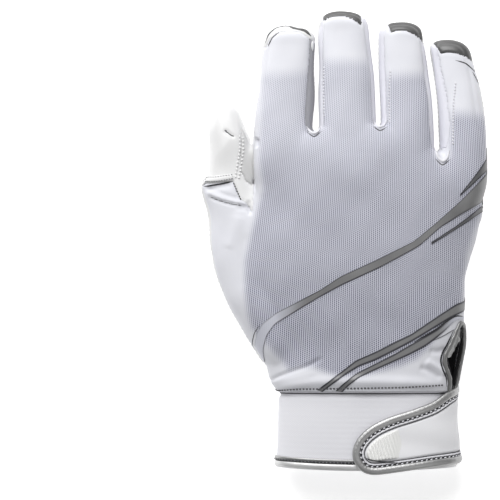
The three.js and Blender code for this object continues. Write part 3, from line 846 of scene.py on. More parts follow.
def film(web):
    grain = grain_of(web, 900.0)
    holes = web.group(MESH, Place=cloth_place(web), Pitch=1.05, Fade=0.35)["Holes"]
    dark = web.blend(grain["Tone"], rgb(0.19, 0.19, 0.195), grey(0.32))
    pale = web.blend(value_of(web, "pale"), dark, rgb(0.6, 0.61, 0.68))
    lined = web.blend(value_of(web, "rim"), pale, rgb(0.05, 0.05, 0.06))
    # the mesh's holes darkened: painted shade inside the holes
    color = web.blend(web.times(holes, 0.3), lined, rgb(0.15, 0.15, 0.16))
    metal = web.spread(value_of(web, "pale"), 0.45, 0.05)
    height = web.sum("SUBTRACT", grain["Bumps"], holes)
    return {"Base Color": color, "Metallic": metal, "Normal": bump(web, height, 0.06, 0.4)}


def moulded(web):
    grain = grain_of(web, 1800.0)
    color = web.blend(web.times(grain["Tone"], 0.3), rgb(0.9, 0.9, 0.885), rgb(0.8, 0.8, 0.79))
    rough = web.spread(grain["Tone"], 0.34, 0.5)
    return {"Base Color": color, "Roughness": rough, "Normal": bump(web, grain["Bumps"], 0.04, 0.4)}


def ribbon(web):
    drift = web.times(grain_of(web, 1600.0)["Tone"], 0.2)
    threads = threads_of(web, object_place(web), 0.5 * MM)
    colour = web.blend(drift, grey(0.86), rgb(0.76, 0.76, 0.77))
    return {"Base Color": colour, "Normal": bump(web, threads, 0.05, 0.4)}


def thread(tone, blue):
    def make(web):
        bumps = grain_of(web, 3000.0)["Bumps"]
        color = web.blend(bumps, grey(tone * 0.75, blue), grey(tone, blue))
        return {"Base Color": color, "Normal": bump(web, bumps, 0.05)}

    return make


# Near-black cloth: painted shade for the dark inside of the glove seen through the vent.
def inside_shade_black(web):
    grain = grain_of(web, 1800.0)
    color = web.blend(grain["Tone"], grey(0.002), rgb(0.008, 0.008, 0.009))
    return {"Base Color": color, "Normal": bump(web, grain["Bumps"], 0.1)}


finish("knit", knit, Roughness=0.8, Sheen_Weight=0.25)
finish("leather", leather(0.79, 0.7), Coat_Weight=0.14, Coat_Roughness=0.25)
# a darker copy of the leather: painted shade for the thumb's web, which faces away from the light
finish("leather_painted_shade", leather(0.6, 0.52), Coat_Weight=0.12, Coat_Roughness=0.3)
finish("side_fabric", fine_fabric(SIDE_TONE), Roughness=0.75, Sheen_Weight=0.2)
# the side walls' fabric, its index-side half darkened as painted shade
finish("side_fabric_painted_shade", side_fabric_painted_shade, Roughness=0.75, Sheen_Weight=0.15)
finish("strap_fabric", strap_fabric, Roughness=0.8, Sheen_Weight=0.2)
finish("elastic", elastic, Roughness=0.85, Sheen_Weight=0.2)
finish("silver_film_plain", ribbon, Metallic=0.3, Roughness=0.4)
finish("silver_trim", trim(0.34, 0.5), Metallic=0.8)
finish("silver_cord", trim(0.6, 0.8), Metallic=0.5)
finish("silver_dark", trim(0.14, 0.34), Metallic=0.7)
finish("silver_leather", silver_leather, Metallic=0.7)
finish("silver_film", film, Roughness=0.46)
finish("pull_patch", moulded)
finish("label", ribbon, Roughness=0.8)
finish("thread_white", thread(0.84, 1.048), Roughness=0.7)
# The grey and dark threads also make cords that are painted shade in creases, grooves and under edges.
finish("grey_thread_and_shade", thread(0.12, 1.083), Roughness=0.7)
finish("dark_thread_and_shade", thread(0.03, 1.167), Roughness=0.8)
finish("inside_shade_black", inside_shade_black, Roughness=0.95, Specular_IOR_Level=0.1)

# The form of the hand

HAND_TURNS = 72
FINGER_TURNS = 48


def crotch_line(u):
    """How far the fingers' roots lie behind the middle finger's, across the hand."""
    return -17.0 * ((u / HAND_WIDTH + 0.045) / 0.391) ** 2


def finger_middle(name, share):
    """Places (u, v) on a finger's middle line, by their share of its length."""
    root, length, _, lean, bow = FINGERS[name]
    u = root * HAND_WIDTH
    v = CROTCH_V + crotch_line(u) - FINGER_ROOT
    share = np.asarray(share, float)
    return u + lean * share + bow * np.sin(np.pi * share), v + (length + FINGER_ROOT) * share


def cleft_line(pair):
    """The middle of the gap between two neighbouring fingers, as (u, v) from its foot up."""
    shares = np.linspace(0.28, 1.1, 8)
    near_u, near_v = finger_middle(pair[0], shares)
    far_u, far_v = finger_middle(pair[1], shares)
    u = (near_u + FINGERS[pair[0]][2] / 2 + far_u - FINGERS[pair[1]][2] / 2) / 2
    return np.stack([u, (near_v + far_v) / 2], axis=1)


HALF_CLEFT = {"index": 0.95, "middle": 1.0, "ring": 1.35}  # half a gap, by the finger on its thumb side


def hand_form():
    rows = []
    for along in np.linspace(-0.1, 1.0, 56):
        thumb_side, little_side, rise, curl = read(HAND_ROWS, max(along, 0.0))
        left = mix(-CUFF_HALF, THUMB_EDGE, thumb_side)
        right = mix(CUFF_HALF, LITTLE_EDGE, little_side)
        half = (right - left) / 2
        heel = max(0.0, 1 - max(along, 0.0) / HEEL_RUN)
        ring = section(
            (left + right) / 2, SEAM_V + along * HAND_LENGTH, half, mix(CUFF_DEPTH, HAND_DEPTH, rise),
            CUFF_LIFT * heel, HAND_TURNS,
        )
        ring[:, 1] += crotch_line(ring[:, 0]) * curl
        rows.append(ring)
    closing = rows[-1]
    middle_z = (closing[:, 2].min() + closing[:, 2].max()) / 2
    for share in (0.5, 0.0):
        rows.append(np.column_stack([closing[:, :2], mix(middle_z, closing[:, 2], share)]))
    return skin(np.array(rows), capped=True)


def finger_form(name):
    _, length, width, _, _ = FINGERS[name]
    full = length + FINGER_ROOT
    straight = full - FINGERTIP_DOME
    rows = []
    stations = [(s, 1.0) for s in np.linspace(0, straight / full, 40)]
    for turn in np.linspace(0.12, np.pi / 2 - 0.05, 10):
        reach = math.sin(turn)
        stations.append(((straight + reach * FINGERTIP_DOME) / full, (1 - reach**2.6) ** (1 / 2.2)))
    for share, size in stations:
        girth, drop, arch = read(FINGER_ROWS, min(share * full / straight, 1.0))
        u, v = finger_middle(name, share)
        sunk = 1 - ease(0, 0.2, share)
        girth *= 1 - 0.16 * sunk
        top = mix(KNUCKLE_DEPTH, FINGERTIP_DEPTH, drop) - 3.5 * sunk
        bottom = FINGER_ARCH * arch
        centre = mix(bottom, top, PALM_SEAM)
        top, bottom = mix(centre, top, size), mix(centre, bottom, size)
        rows.append(section(u, v, width / 2 * girth * size, top, bottom, FINGER_TURNS, FINGER_SQUARE))
    rows = np.array(rows)
    for pair in PAIRS:
        line = cleft_line(pair)
        limit = np.interp(rows[..., 1], line[:, 1], line[:, 0])
        if name == pair[0]:
            rows[..., 0] = np.minimum(rows[..., 0], limit - HALF_CLEFT[pair[0]])
        if name == pair[1]:
            rows[..., 0] = np.maximum(rows[..., 0], limit + HALF_CLEFT[pair[0]])
    return skin(rows, capped=True)


def thumb_form():
    rows = []
    tip_v = SEAM_V + THUMB_START + THUMB_LENGTH
    for along in np.concatenate([np.linspace(0, 0.95, 60), np.linspace(0.96, 1.0, 6)]):
        out, girth, height = read(THUMB_ROWS, along)
        lifted = ease(0.93, 1.0, along) * (REST_SINK + THUMB_DEPTH * 0.2)
        u, v = THUMB_EDGE - out * THUMB_WIDTH, tip_v - (1 - along) * THUMB_LENGTH
        half, top = girth * THUMB_WIDTH / 2, height * THUMB_DEPTH
        rows.append(section(u, v, half, top, lifted, FINGER_TURNS, FINGER_SQUARE))
    return skin(np.array(rows), capped=True)


def smooth_knuckles(bm):
    """Evens out the back where the fingers grow out of the hand, in height only."""
    places = points_of(bm)
    bm.normal_update()
    facing_up = ease(0.3, 0.7, np.array([v.normal.z for v in bm.verts]))
    root_v = CROTCH_V + crotch_line(places[:, 0])
    near = ease(root_v - 62, root_v - 40, places[:, 1]) * ease(root_v + 26, root_v + 12, places[:, 1])
    relax(bm, 220, (facing_up * near)[:, None] * np.array([0, 0, 0.6]))


def flatten_underside(bm, low):
    """Brings what lies below a low height, and below the surface, to rest on the surface."""
    places = points_of(bm)
    z = places[:, 2]
    places[:, 2] = np.where(z < low, low * np.exp((z - low) / low), z)
    set_points(bm, places)


body = even_mesh([hand_form(), thumb_form(), *[finger_form(name) for name in FINGERS]])
relax(body, 6)
smooth_knuckles(body)
flatten_underside(body, 1.2)

# Lines that part the panels


def side_line(share, v):
    """Height of a seam at a share of the local depth."""
    along = np.where(v < CROTCH_V, (v - SEAM_V) / HAND_LENGTH, 1 + (v - CROTCH_V) / FINGERS["middle"][1])
    rows = np.array(SEAM_ROWS)
    low = np.interp(along, rows[:, 0], rows[:, 1]) * FINGER_ARCH
    high = np.interp(along, rows[:, 0], rows[:, 2]) * HAND_DEPTH
    return mix(low, high, share)


def over_palm(p):
    return p[:, 2] - side_line(PALM_SEAM, p[:, 1])


def over_sides(p):
    return p[:, 2] - side_line(BACK_SEAM, p[:, 1])


def palm_dip(z):
    middle = mix(CUFF_LIFT, CUFF_DEPTH * 0.96, PALM_SEAM)
    return PALM_DIP * np.clip((middle - z) / (middle - CUFF_LIFT), 0, 1) ** 2.5


def past_wrist(p):
    return p[:, 1] - SEAM_V + palm_dip(p[:, 2]) + 0.3


def between(pair):
    """The ground between the middle lines of two neighbouring fingers."""
    shares = np.linspace(0.25, 1.0, 10)
    near = np.stack(finger_middle(pair[0], shares), axis=1)
    far = np.stack(finger_middle(pair[1], shares), axis=1)
    return np.concatenate([far, near[::-1]])


THUMB_LEATHER = seen([
    (150, 184), (200, 184), (217, 182.8), (233, 181.5), (236.5, 190), (240, 199), (246, 203), (251.5, 212),
    (253, 205), (254, 190), (254, 170), (253.6, 155), (252.6, 142), (251.5, 130), (246, 100), (240, 50),
    (150, 50),
])
THUMB_SIDE = seen([
    (239, 100), (242, 138), (240.5, 160), (241, 172), (246, 181), (252.5, 186), (254, 180), (254, 165),
    (253.6, 150),
    (253, 135), (252, 100),
])
TIPS = {
    "index": seen([
        (262, 47), (266, 47), (270, 38.5), (277, 33), (288, 30.5), (300, 32), (309, 38), (315, 42),
        (322, 20),
        (290, 0), (258, 20),
    ]),
    "middle": seen([
        (323.5, 21), (329, 17.8), (336, 16.4), (343, 16.2), (351, 18.5), (357, 22), (361.6, 26), (361.6, 14),
        (362, -12), (322, -12), (323, 10),
    ]),
    "ring": seen([
        (388.5, 25.5), (391, 32.5), (396, 31), (401, 30.4), (408, 31.5), (414, 34.5), (420, 39), (424.5, 43),
        (428, 30), (420, 5), (396, 5), (386, 20),
    ]),
    "little": seen([
        (434.5, 44), (440.5, 54), (446, 52.8), (451, 52.8), (458, 54), (466, 57), (475.5, 63), (484, 50),
        (470, 25), (440, 25), (428, 38),
    ]),
}
VENT = seen([
    (451, 394), (447.5, 393), (449.2, 385), (448.6, 376), (444.8, 368), (443, 360), (444.5, 354),
    (449.5, 345),
    (455.5, 331), (459, 322.5), (461.8, 321), (464.3, 331), (464, 346), (462, 360), (459.2, 370), (457, 380),
    (454.5, 393),
])
NEAR_CUT = 0.01  # a place this close to the palm's seam counts as on both of its sides


def by_clefts(p):
    return p[:, 1] > CROTCH_V - 12


def by_tips(p):
    return p[:, 1] > 190


def by_vent(p):
    return (p[:, 0] > 30) & (p[:, 1] < 85)


def inside(outline, p):
    return outside(outline, p[:, :2]) < 0


def cut_above(value, where):
    """Cuts the body above the palm's seam, where where(points) is true."""
    cut(body, value, lambda p: (over_palm(p) > -NEAR_CUT) & where(p))


def cut_round(outline, where):
    cut_above(lambda p: outside(outline, p[:, :2]), where)


def cut_below(value, where):
    cut(body, value, lambda p: (over_palm(p) < NEAR_CUT) & where(p))


cut(body, over_palm)
cut(body, past_wrist)
cut_above(over_sides, lambda p: p[:, 1] > CROTCH_V - 25)
for pair in PAIRS:
    cut_round(between(pair), lambda p: by_clefts(p) & (over_sides(p) < NEAR_CUT))
cut_round(THUMB_LEATHER, lambda p: p[:, 0] < -40)
cut_round(THUMB_SIDE, lambda p: (p[:, 0] < -50) & (p[:, 1] > 140))
for outline in TIPS.values():
    cut_round(outline, by_tips)
cut_round(VENT, by_vent)
cut_below(lambda p: p[:, 1] - CAP_V, lambda p: p[:, 0] < THUMB_EDGE + 0.2)
cut_below(lambda p: p[:, 0] - THUMB_EDGE, lambda p: p[:, 1] > CAP_V - 0.2)
body.normal_update()

# Which panel each face belongs to


def panel_of(p):
    """The name of the panel at each of many places, or nothing where the glove is open."""
    name = np.full(len(p), "back_panel", dtype=object)
    upper = over_palm(p) > 0
    for pair in PAIRS:
        wall = upper & (over_sides(p) < 0) & inside(between(pair), p) & by_clefts(p)
        name[wall] = f"side_wall_{pair[0]}_{pair[1]}"
    cap = upper & inside(THUMB_LEATHER, p)
    name[cap] = "thumb_end"
    name[cap & inside(THUMB_SIDE, p)] = "thumb_web"
    for finger, outline in TIPS.items():
        name[upper & inside(outline, p) & by_tips(p)] = f"fingertip_{finger}"
    name[~upper] = "palm_panel"
    name[~upper & (p[:, 1] > CAP_V) & (p[:, 0] < THUMB_EDGE)] = "thumb_end"
    name[upper & inside(VENT, p) & by_vent(p)] = ""
    name[past_wrist(p) < 0] = ""
    return name


# Shaping of the cloth

KNIT_GROUND = seen([
    (288, 371), (279, 360), (269, 349), (258, 337), (250, 328), (246, 315), (243, 290), (243, 260),
    (250, 230),
    (261, 190), (257, 160), (258, 130),
    (260, 90), (262, 40), (311, 40), (312, 90), (311, 126), (314, 132), (319, 126), (319, 90), (320, 20),
    (368, 20),
    (373, 90), (375, 120), (379, 128), (385, 120), (385, 90), (384, 30), (428, 30), (432, 95), (434, 120),
    (436, 155), (441, 163), (447, 155), (449, 125), (450, 70), (490, 70), (490, 130), (490, 160), (488, 200),
    (482, 215), (474, 235), (468, 255), (464, 300), (457, 318), (446, 325), (436, 337), (427, 350),
    (416, 360),
    (400, 367), (365, 376), (340, 378), (324, 373), (312, 368), (300, 368.5), (288, 371.5),
])

# Where the open mesh ends on each finger
KNIT_END = seen([
    (258, 75), (308, 73), (322, 62), (366, 62), (386, 76), (426, 75), (445, 113), (484, 116),
])

# Folds on the back: a line in the photograph's frame, its half width and its height, below 0 for a crease.
BACK_FOLDS = [
    ([(205, 190), (215, 196), (225, 200), (237, 203), (250, 204.5)], 0.95, 1.0),
    ([(207, 196), (217, 200), (227, 203), (237, 205.5), (252, 207)], 0.65, -1.4),
    ([(203, 187.5), (215, 190), (228, 196), (240, 199)], 0.7, -0.6),
    ([(204, 189), (218, 187), (233, 184.5)], 1.5, -1.3),
    ([(234, 209), (242, 209), (252, 211)], 0.7, -0.7),
    ([(248.5, 200), (249.5, 207), (250, 216)], 1.0, -1.3),
    ([(224, 130), (229, 134), (235, 138)], 0.6, -1.1),
    ([(266, 383), (279, 375.5), (291, 371), (307, 365.6), (324, 356)], 0.9, -0.95),
    ([(266, 391), (288, 385), (310, 381), (345, 380), (400, 381), (446, 384)], 2.4, 1.1),
    ([(424, 360), (436, 366), (445, 374)], 1.6, 1.1),
    ([(418, 366), (430, 371), (441, 378)], 1.3, -1.0),
    ([(428, 350), (438, 352), (446, 348)], 1.4, -1.0),
    ([(256, 138), (256.4, 148)], 0.8, -1.8),
    ([(262, 379), (275, 381), (296, 377), (318, 371)], 1.6, 0.4),
    ([(240, 214), (236, 230), (228, 250)], 3.0, 0.5),
    ([(246, 232), (242, 262), (244, 290)], 2.0, -0.35),
]
# Soft hollows and swells of the back: middle, reach across and along in millimetres, and height
SWELLS = [
    ((284, 208), 7, 10, -1.2),
    ((280, 240), 8, 8, 0.5),
    ((356, 202), 9, 7, -0.5),
    ((345, 142), 7, 8, -0.5),
    ((350, 176), 7, 6, 0.35),
    ((404, 176), 9, 12, -0.6),
    ((310, 140), 6, 8, 0.4),
    ((378, 152), 5, 10, 0.35),
    ((262, 290), 7, 14, -0.8),
    ((300, 350), 12, 9, -0.9),
    ((330, 322), 9, 7, 0.35),
    ((372, 315), 7, 8, -0.5),
    ((275, 345), 6, 7, 0.5),
    ((462, 240), 6, 12, -0.8),
    ((236, 222), 6, 9, 0.9),
    ((430, 300), 8, 8, -0.3),
]
# Creases of the palm: u, v of a line, half width and height.
PALM_FOLDS = [
    ([(-50, 150), (-36, 140), (-22, 118), (-14, 92)], 1.6, -0.9),
    ([(-44, 162), (-20, 158), (4, 150), (24, 146)], 1.5, -0.8),
    ([(50, 148), (30, 136), (6, 130), (-10, 134)], 1.5, -0.8),
    ([(-60, 122), (-44, 104), (-36, 80), (-34, 60)], 1.8, -0.9),
    ([(-28, 168), (-26, 150), (-30, 134)], 1.0, -0.5),
    ([(6, 168), (2, 150), (-2, 138)], 1.0, -0.5),
    ([(34, 160), (28, 148), (20, 134)], 1.0, -0.5),
]


def fold_height(folds, uv):
    """How far folds raise the cloth at places (u, v)."""
    total = np.zeros(len(uv))
    for line, half, height in folds:
        away, along = distance_to(curved(line, 1.5, times=3), uv)
        fade = ease(0, 0.15, along) * ease(0, 0.15, 1 - along)
        total += height * np.exp(-((away / half) ** 2)) * fade
    return total


def waves(p, seed):
    """Slow uneven swells, from -1 to 1."""
    total = np.zeros(len(p))
    rng = np.random.default_rng(seed)
    for _ in range(9):
        way = rng.normal(size=3)
        way /= np.linalg.norm(way)
        total += np.sin(p @ way * 2 * np.pi / rng.uniform(14, 40) + rng.uniform(0, 6.3))
    return total / 5


def ridge(away, half):
    """1 on a line and nearly 0 beyond its half width."""
    return np.exp(-((away / half) ** 2))


def seam_depth(points, upper):
    """1 on a seam, which sinks between the two panels that it joins, and 0 away from all seams."""
    u, v = points[:, 0], points[:, 1]
    seam = ridge(over_palm(points), 0.9) * (1 - ease(-46, -50, u) * ease(135, 142, v))
    near_fingers = ease(CROTCH_V - 14, CROTCH_V - 4, v)
    seam = np.maximum(seam, ridge(over_sides(points), 0.9) * near_fingers * upper)
    for outline, low_v in ((THUMB_LEATHER, 100), (THUMB_SIDE, 140), *[(t, 190) for t in TIPS.values()]):
        seam = np.maximum(seam, ridge(outside(outline, points[:, :2]), 0.7) * upper * (v > low_v))
    return seam


def cloth_height(points):
    """How far the cloth stands out of the even form, with its waves, folds, swells and seams."""
    uv = points[:, :2]
    upper = ease(-1.5, 1.5, over_palm(points))
    raised = waves(points, 5) * 0.35
    raised += fold_height([(seen(line), half, height) for line, half, height in BACK_FOLDS], uv) * upper
    raised += fold_height(PALM_FOLDS, uv) * (1 - upper)
    for middle, reach_u, reach_v, height in SWELLS:
        away = (uv - seen(middle)) / np.array([reach_u, reach_v])
        raised += height * np.exp(-(away**2).sum(axis=1)) * upper
    return raised - seam_depth(points, upper) * 0.55


points = points_of(body)
points += np.array([v.normal for v in body.verts]) * cloth_height(points)[:, None]
points[:, 2] = np.maximum(points[:, 2], 0.05)
set_points(body, points)
body.normal_update()

# The cloth's own place, whose rows lean and bend a little over the hand, and where its open mesh fades out;
# the fade also makes the upper hand paler, as painted light
all_u, all_v = points[:, 0], points[:, 1]
lean = 2.2 * np.sin(all_v / 46) + 0.0016 * all_u * (all_v - 90)
set_layer(body, "cloth", on_flat(np.stack([all_u + lean, all_v + 1.6 * np.sin(all_u / 30)], axis=1)))
facing = np.array([v.normal.z for v in body.verts])
ground = ease(1.5, -3.5, outside(KNIT_GROUND, points[:, :2])) * ease(0.05, 0.45, facing)
ground *= ease(4.5, -4.5, all_v - np.interp(all_u, KNIT_END[:, 0], KNIT_END[:, 1]))
ground *= 1 - 0.4 * ease(CROTCH_V - 45, CROTCH_V + 15, all_v) * ease(60, -40, all_u)
# higher up the hand the mesh is fainter and the cloth paler: painted light, the upper hand lighter than the
# lower
ground *= 1 - 0.12 * ease(70, 110, all_v)
set_layer(body, "fade", ground)

surface = BVHTree.FromBMesh(body)
EDGE_INSET = 0.7  # a line from above is dropped on the hand this far inside its edge at the most
SIDE_Z = 16.0


def dropped(u, v):
    """The place on the body straight below (u, v), and the way out of it there. None where there is none."""
    return surface.ray_cast(Vector((u, v, 80)), Vector((0, 0, -1)))[:2]


def edge_of(v):
    """How far out the body reaches on the little finger's side."""
    near = all_u[np.abs(all_v - v) < 1.2]
    return near.max() if len(near) else 0


edge_v = np.arange(20.0, 240.0, 1.0)
right_edge = np.array([edge_of(v) for v in edge_v]) - EDGE_INSET
edge_places = [dropped(u, v)[0] for u, v in zip(right_edge, edge_v)]
edge_height = np.array([place.z if place else SIDE_Z for place in edge_places])
seam_reach = right_edge + np.maximum(edge_height - side_line(PALM_SEAM, edge_v) - 0.7, 0)


def to_seam(uv):
    """A line on the back without the part that would run past the palm's seam on the little finger's side."""
    return uv[uv[:, 0] <= np.interp(uv[:, 1], edge_v, seam_reach)]


def on_hand(uv, lift=0.0, smooth=4, closed=False):
    """Places on the hand's back under (u, v), or down its side past its edge, and the way out of it."""
    places, ways = [], []
    for u, v in uv:
        edge = float(np.interp(v, edge_v, right_edge))
        if u < edge:
            place, way = dropped(u, v)
            if place is None:
                place, way = surface.find_nearest(Vector((u, v, SIDE_Z)))[:2]
        else:
            start = dropped(edge, v)[0]
            height = start.z if start else SIDE_Z
            place, way = surface.find_nearest(Vector((edge + 4, v, height - (u - edge))))[:2]
        places.append(place)
        ways.append(way)
    ways = unit(smooth_line(ways, smooth, closed))
    return np.array(places, float) + ways * lift, ways


# Panels

owner = panel_of(face_middles(body))


def panel(name):
    """The faces of one panel as a mesh of its own."""
    made = body.copy()
    keep_faces(made, owner == name)
    return made


PANEL_FINISH = {
    "back_panel": ("knit", "knit"),
    "palm_panel": ("leather", "leather"),
    "thumb_end": ("leather", "leather"),
    "thumb_web": ("leather_painted_shade", "leather"),
    "side_wall_index_middle": ("side_fabric_painted_shade", "side_fabric"),
    "side_wall_middle_ring": ("side_fabric", "side_fabric"),
    "side_wall_ring_little": ("side_fabric", "side_fabric"),
    "fingertip_index": ("leather", "leather"),
    "fingertip_middle": ("silver_leather", "silver_leather"),
    "fingertip_ring": ("silver_leather", "silver_leather"),
    "fingertip_little": ("silver_leather", "silver_leather"),
}
for name, (look, slot) in PANEL_FINISH.items():
    piece(f"{name}_cloth", panel(name), look, [name], wall=PANEL_WALL)

# Cuff


RING_TURNS = 220
CUFF_RADIUS = 34.0  # turns a way round the cuff into millimetres of cloth


def cuff_ring(v, along, count=160, extra=0.0):
    """A section of the cuff. along is its share of the cuff's length, and extra makes it wider all round."""
    width, depth = read(CUFF_ROWS, along)
    across, up = squared(round_turns(count))
    s = np.sin(round_turns(count))
    top = CUFF_DEPTH * depth
    centre = mix(CUFF_LIFT, top, PALM_SEAM)
    reach = np.where(s > 0, top - centre + extra, centre - CUFF_LIFT + REST_SINK + extra)
    z = np.maximum(centre + up * reach, CUFF_LIFT - extra)
    y = v + (across**2 - 1) * HEM_BOW * (1 - along) - np.where(s < 0, PALM_DIP * s * s * along, 0)
    return np.stack([across * (CUFF_HALF * width + extra), y, z], axis=1)


def out_of_wrist(ring):
    """The way out from the cuff's middle line at places round it."""
    return unit((ring - np.array([0, 0, CUFF_MIDDLE_Z])) * np.array([1, 0, 1]))


def round_wrist(bm):
    """Gives a tube around the wrist its place on the cloth, round it and along it."""
    points = points_of(bm)
    around = np.arctan2(points[:, 2] - CUFF_MIDDLE_Z, points[:, 0]) * CUFF_RADIUS
    set_layer(bm, "cloth", on_flat(np.stack([around, points[:, 1]], axis=1)))
    return bm


rows = []
for along in np.linspace(0.02, 1.026, 60):
    ring = cuff_ring(along * CUFF_LENGTH, along)
    ripple = 0.025 * math.sin(along * CUFF_LENGTH * 2 * math.pi / ELASTIC_RIB)
    swell = 0.35 * np.sin(ring[:, 0] * 0.11 + along * 2) * math.sin(along * math.pi)
    pinch = 1.1 * math.exp(-((max(1 - along, 0) * CUFF_LENGTH / 1.3) ** 2))
    rows.append(ring - out_of_wrist(ring) * (ripple + swell + pinch)[:, None])
band = skin(np.array(rows))
turned_out(band, (0, CUFF_LENGTH / 2, CUFF_MIDDLE_Z))
piece("cuff_elastic", round_wrist(band), "elastic", ["cuff_band"], wall=CUFF_WALL)


def wrist_cord(name, v, along, wide, high, extra, look, replaces=()):
    """A cord round the cuff."""
    ring = cuff_ring(v, along, RING_TURNS, extra)
    outward = out_of_wrist(ring)
    outward[ring[:, 2] <= CUFF_LIFT - extra + 1e-6] = (0, 0, -1)
    cord = sweep(ring, smooth_line(outward, 6, True), wide, high, closed=True)
    piece(name, round_wrist(cord), look, replaces)


pucker = 1.0 + 0.06 * np.sin(round_turns(RING_TURNS) * 88)
wrist_cord(
    "hem_binding_tape", 2.5, 0.0, 1.9, 1.5 * pucker, -0.9, "silver_cord", ["hem_binding"],
)
wrist_cord("hem_lip_tape", 5.6, 0.0, 0.8, 0.6 * pucker, 0.0, "silver_trim")
wrist_cord("cuff_seam_roll", 38.6, 1.0, 0.85, 1.35, -0.9, "elastic", ["cuff_seam"])
# a thin dark cord just below the seam's roll: painted shadow under the roll
wrist_cord("cuff_seam_shadow_line", 37.45, 1.0, 0.28, 0.3, -0.75, "grey_thread_and_shade")

# Strap, in places on the cuff: how far round it from its middle line, and how far along it


def cuff_profile(v):
    """Half the cuff's width, its top and its seam's height at v."""
    width, depth = read(CUFF_ROWS, np.clip(v / CUFF_LENGTH, 0, 1))
    top = CUFF_DEPTH * depth
    return CUFF_HALF * width, top, mix(CUFF_LIFT, top, PALM_SEAM)


def round_at(turn, half, top, centre):
    """Places (u, z) round the cuff, from its top at a quarter turn down the little finger's side."""
    across, up = squared(turn)
    reach = np.where(up > 0, top - centre, centre - CUFF_LIFT + REST_SINK)
    return np.stack([np.abs(across) * half, centre + up * reach], axis=-1)


turn_steps = np.linspace(np.pi / 2, -1.1, 400)
profile = round_at(turn_steps, *cuff_profile(0.4 * CUFF_LENGTH))
arc = np.concatenate([[0], np.cumsum(np.linalg.norm(np.diff(profile, axis=0), axis=1))])
side_i = int(np.argmax(profile[:, 0]))
side_u = profile[side_i, 0]


def arc_of(u):
    """How far round the cuff a place seen at u is. Past the side it runs on down."""
    before_side = np.interp(np.abs(u), profile[: side_i + 1, 0], arc[: side_i + 1]) * np.sign(u)
    return np.where(u > side_u, arc[side_i] + u - side_u, before_side)


def unrolled(line):
    """A line of (u, v) as places round and along the cuff."""
    return np.stack([arc_of(line[:, 0]), line[:, 1]], axis=1)


def on_cuff(line, height):
    """Places over the cuff from places round and along it, and the way out of it there."""
    s, v = line[:, 0], line[:, 1]
    turn = np.interp(np.abs(s), arc, turn_steps)
    measures = cuff_profile(v)
    side = np.sign(s + 1e-9)

    def at(t):
        return round_at(t, *measures) * np.stack([side, np.ones(len(s))], axis=-1)

    run = at(turn - 0.01) - at(turn + 0.01)
    way = unit(np.stack([-run[:, 1], run[:, 0]], axis=-1) * side[:, None])
    out = at(turn) + way * (height + np.zeros(len(s)))[:, None]
    points = np.stack([out[:, 0], v, out[:, 1]], axis=-1)
    return points, np.stack([way[:, 0], np.zeros(len(s)), way[:, 1]], axis=-1)


STRAP_OUTER = seen([
    (456.7, 383.5), (446, 391), (430, 402), (410, 409), (390, 415), (375, 421.5), (365, 428), (357, 436),
    (352.2, 445), (351, 453), (353, 461), (357.5, 468), (364, 472.6), (374, 474), (391.6, 471.6), (410, 469),
    (430, 466), (456.7, 462),
])
STRAP_STEP = 0.7
STRAP_LOW = 0.8
STRAP_WALL = 1.5
STRAP_TOP = STRAP_LOW + STRAP_WALL
TAPE_HALF = 2.0


def inset(line, distance):
    """A line moved to its right side by a distance, on the flat."""
    run = directions(line)
    side = np.stack([run[:, 1], -run[:, 0]], axis=1)
    return line - side * distance


strap_line = curved(unrolled(STRAP_OUTER), STRAP_STEP, times=10)
end_s = arc[side_i] + 5.5
over_side, under_side = (end_s, strap_line[0, 1] + 3.0), (end_s, strap_line[-1, 1] + 0.8)
strap_line = np.concatenate([[over_side], strap_line, [under_side]])
strap_line = smooth_line(spaced(strap_line, STRAP_STEP), 8)


def cut_sheet(outline, step, place):
    """A sheet with a given outline on the flat, laid in space by place(flat points)."""
    low_s, low_v = outline.min(axis=0) - 1
    high_s, high_v = outline.max(axis=0) + 1
    count_s, count_v = int((high_s - low_s) / step), int((high_v - low_v) / step)
    s, v = np.meshgrid(np.linspace(low_s, high_s, count_s), np.linspace(low_v, high_v, count_v))
    bm = skin(np.stack([s, v, np.zeros_like(s)], axis=-1), around=False)
    cut(bm, lambda p: outside(outline, p[:, :2]))
    keep_faces(bm, outside(outline, face_middles(bm)[:, :2]) <= 0)
    flat = points_of(bm)
    set_layer(bm, "cloth", on_flat(flat))
    set_points(bm, place(flat[:, :2]))
    face_up(bm)
    return bm


def strap_sheet(outline, step, height):
    """A sheet over the cuff inside an outline. height(flat points) lifts it off the cuff."""
    return cut_sheet(outline, step, lambda flat: on_cuff(flat, height(flat))[0])


rim_line = inset(strap_line, 6.0)


def strap_height(flat):
    away, _ = distance_to(rim_line, flat)
    edge, _ = distance_to(strap_line, flat)
    drape = 0.4 * np.sin(flat[:, 0] * 0.12 + flat[:, 1] * 0.2) * ease(6, 14, edge)
    return STRAP_TOP - 0.7 * ridge(away, 0.45) - 0.5 * ridge(edge - 4.2, 0.6) + drape


band = strap_sheet(inset(strap_line, 3.0), 0.5, strap_height)
piece("strap_band", band, "strap_fabric", ["strap"], wall=STRAP_WALL - 0.2)
placed, ways = on_cuff(inset(strap_line, TAPE_HALF), STRAP_LOW + 0.9)
at = np.arange(len(placed))
tape_half = TAPE_HALF * (1 - 0.25 * ease(8, 0, at * STRAP_STEP))
tape = sweep(placed, ways, tape_half, 1.5 + 0.05 * np.sin(at * 1.9), square=2.1, lift=0.05, count=18)
piece("strap_binding_tape", tape, "silver_trim", ["strap_binding"])
# each row: distance from the strap's edge, half width, height over the strap, look
STRAP_CORDS = {
    "strap_valley_cord": (4.15, 0.42, -0.2, "dark_thread_and_shade"),
    "strap_groove_cord": (6.0, 0.2, -0.2, "grey_thread_and_shade"),
    "strap_lip_cord": (5.2, 0.4, 0.1, "elastic"),
}
for name, (aside, half, height, look) in STRAP_CORDS.items():
    placed, ways = on_cuff(inset(strap_line, aside), STRAP_TOP + height)
    piece(name, sweep(placed, ways, half, 0.3, count=8), look)
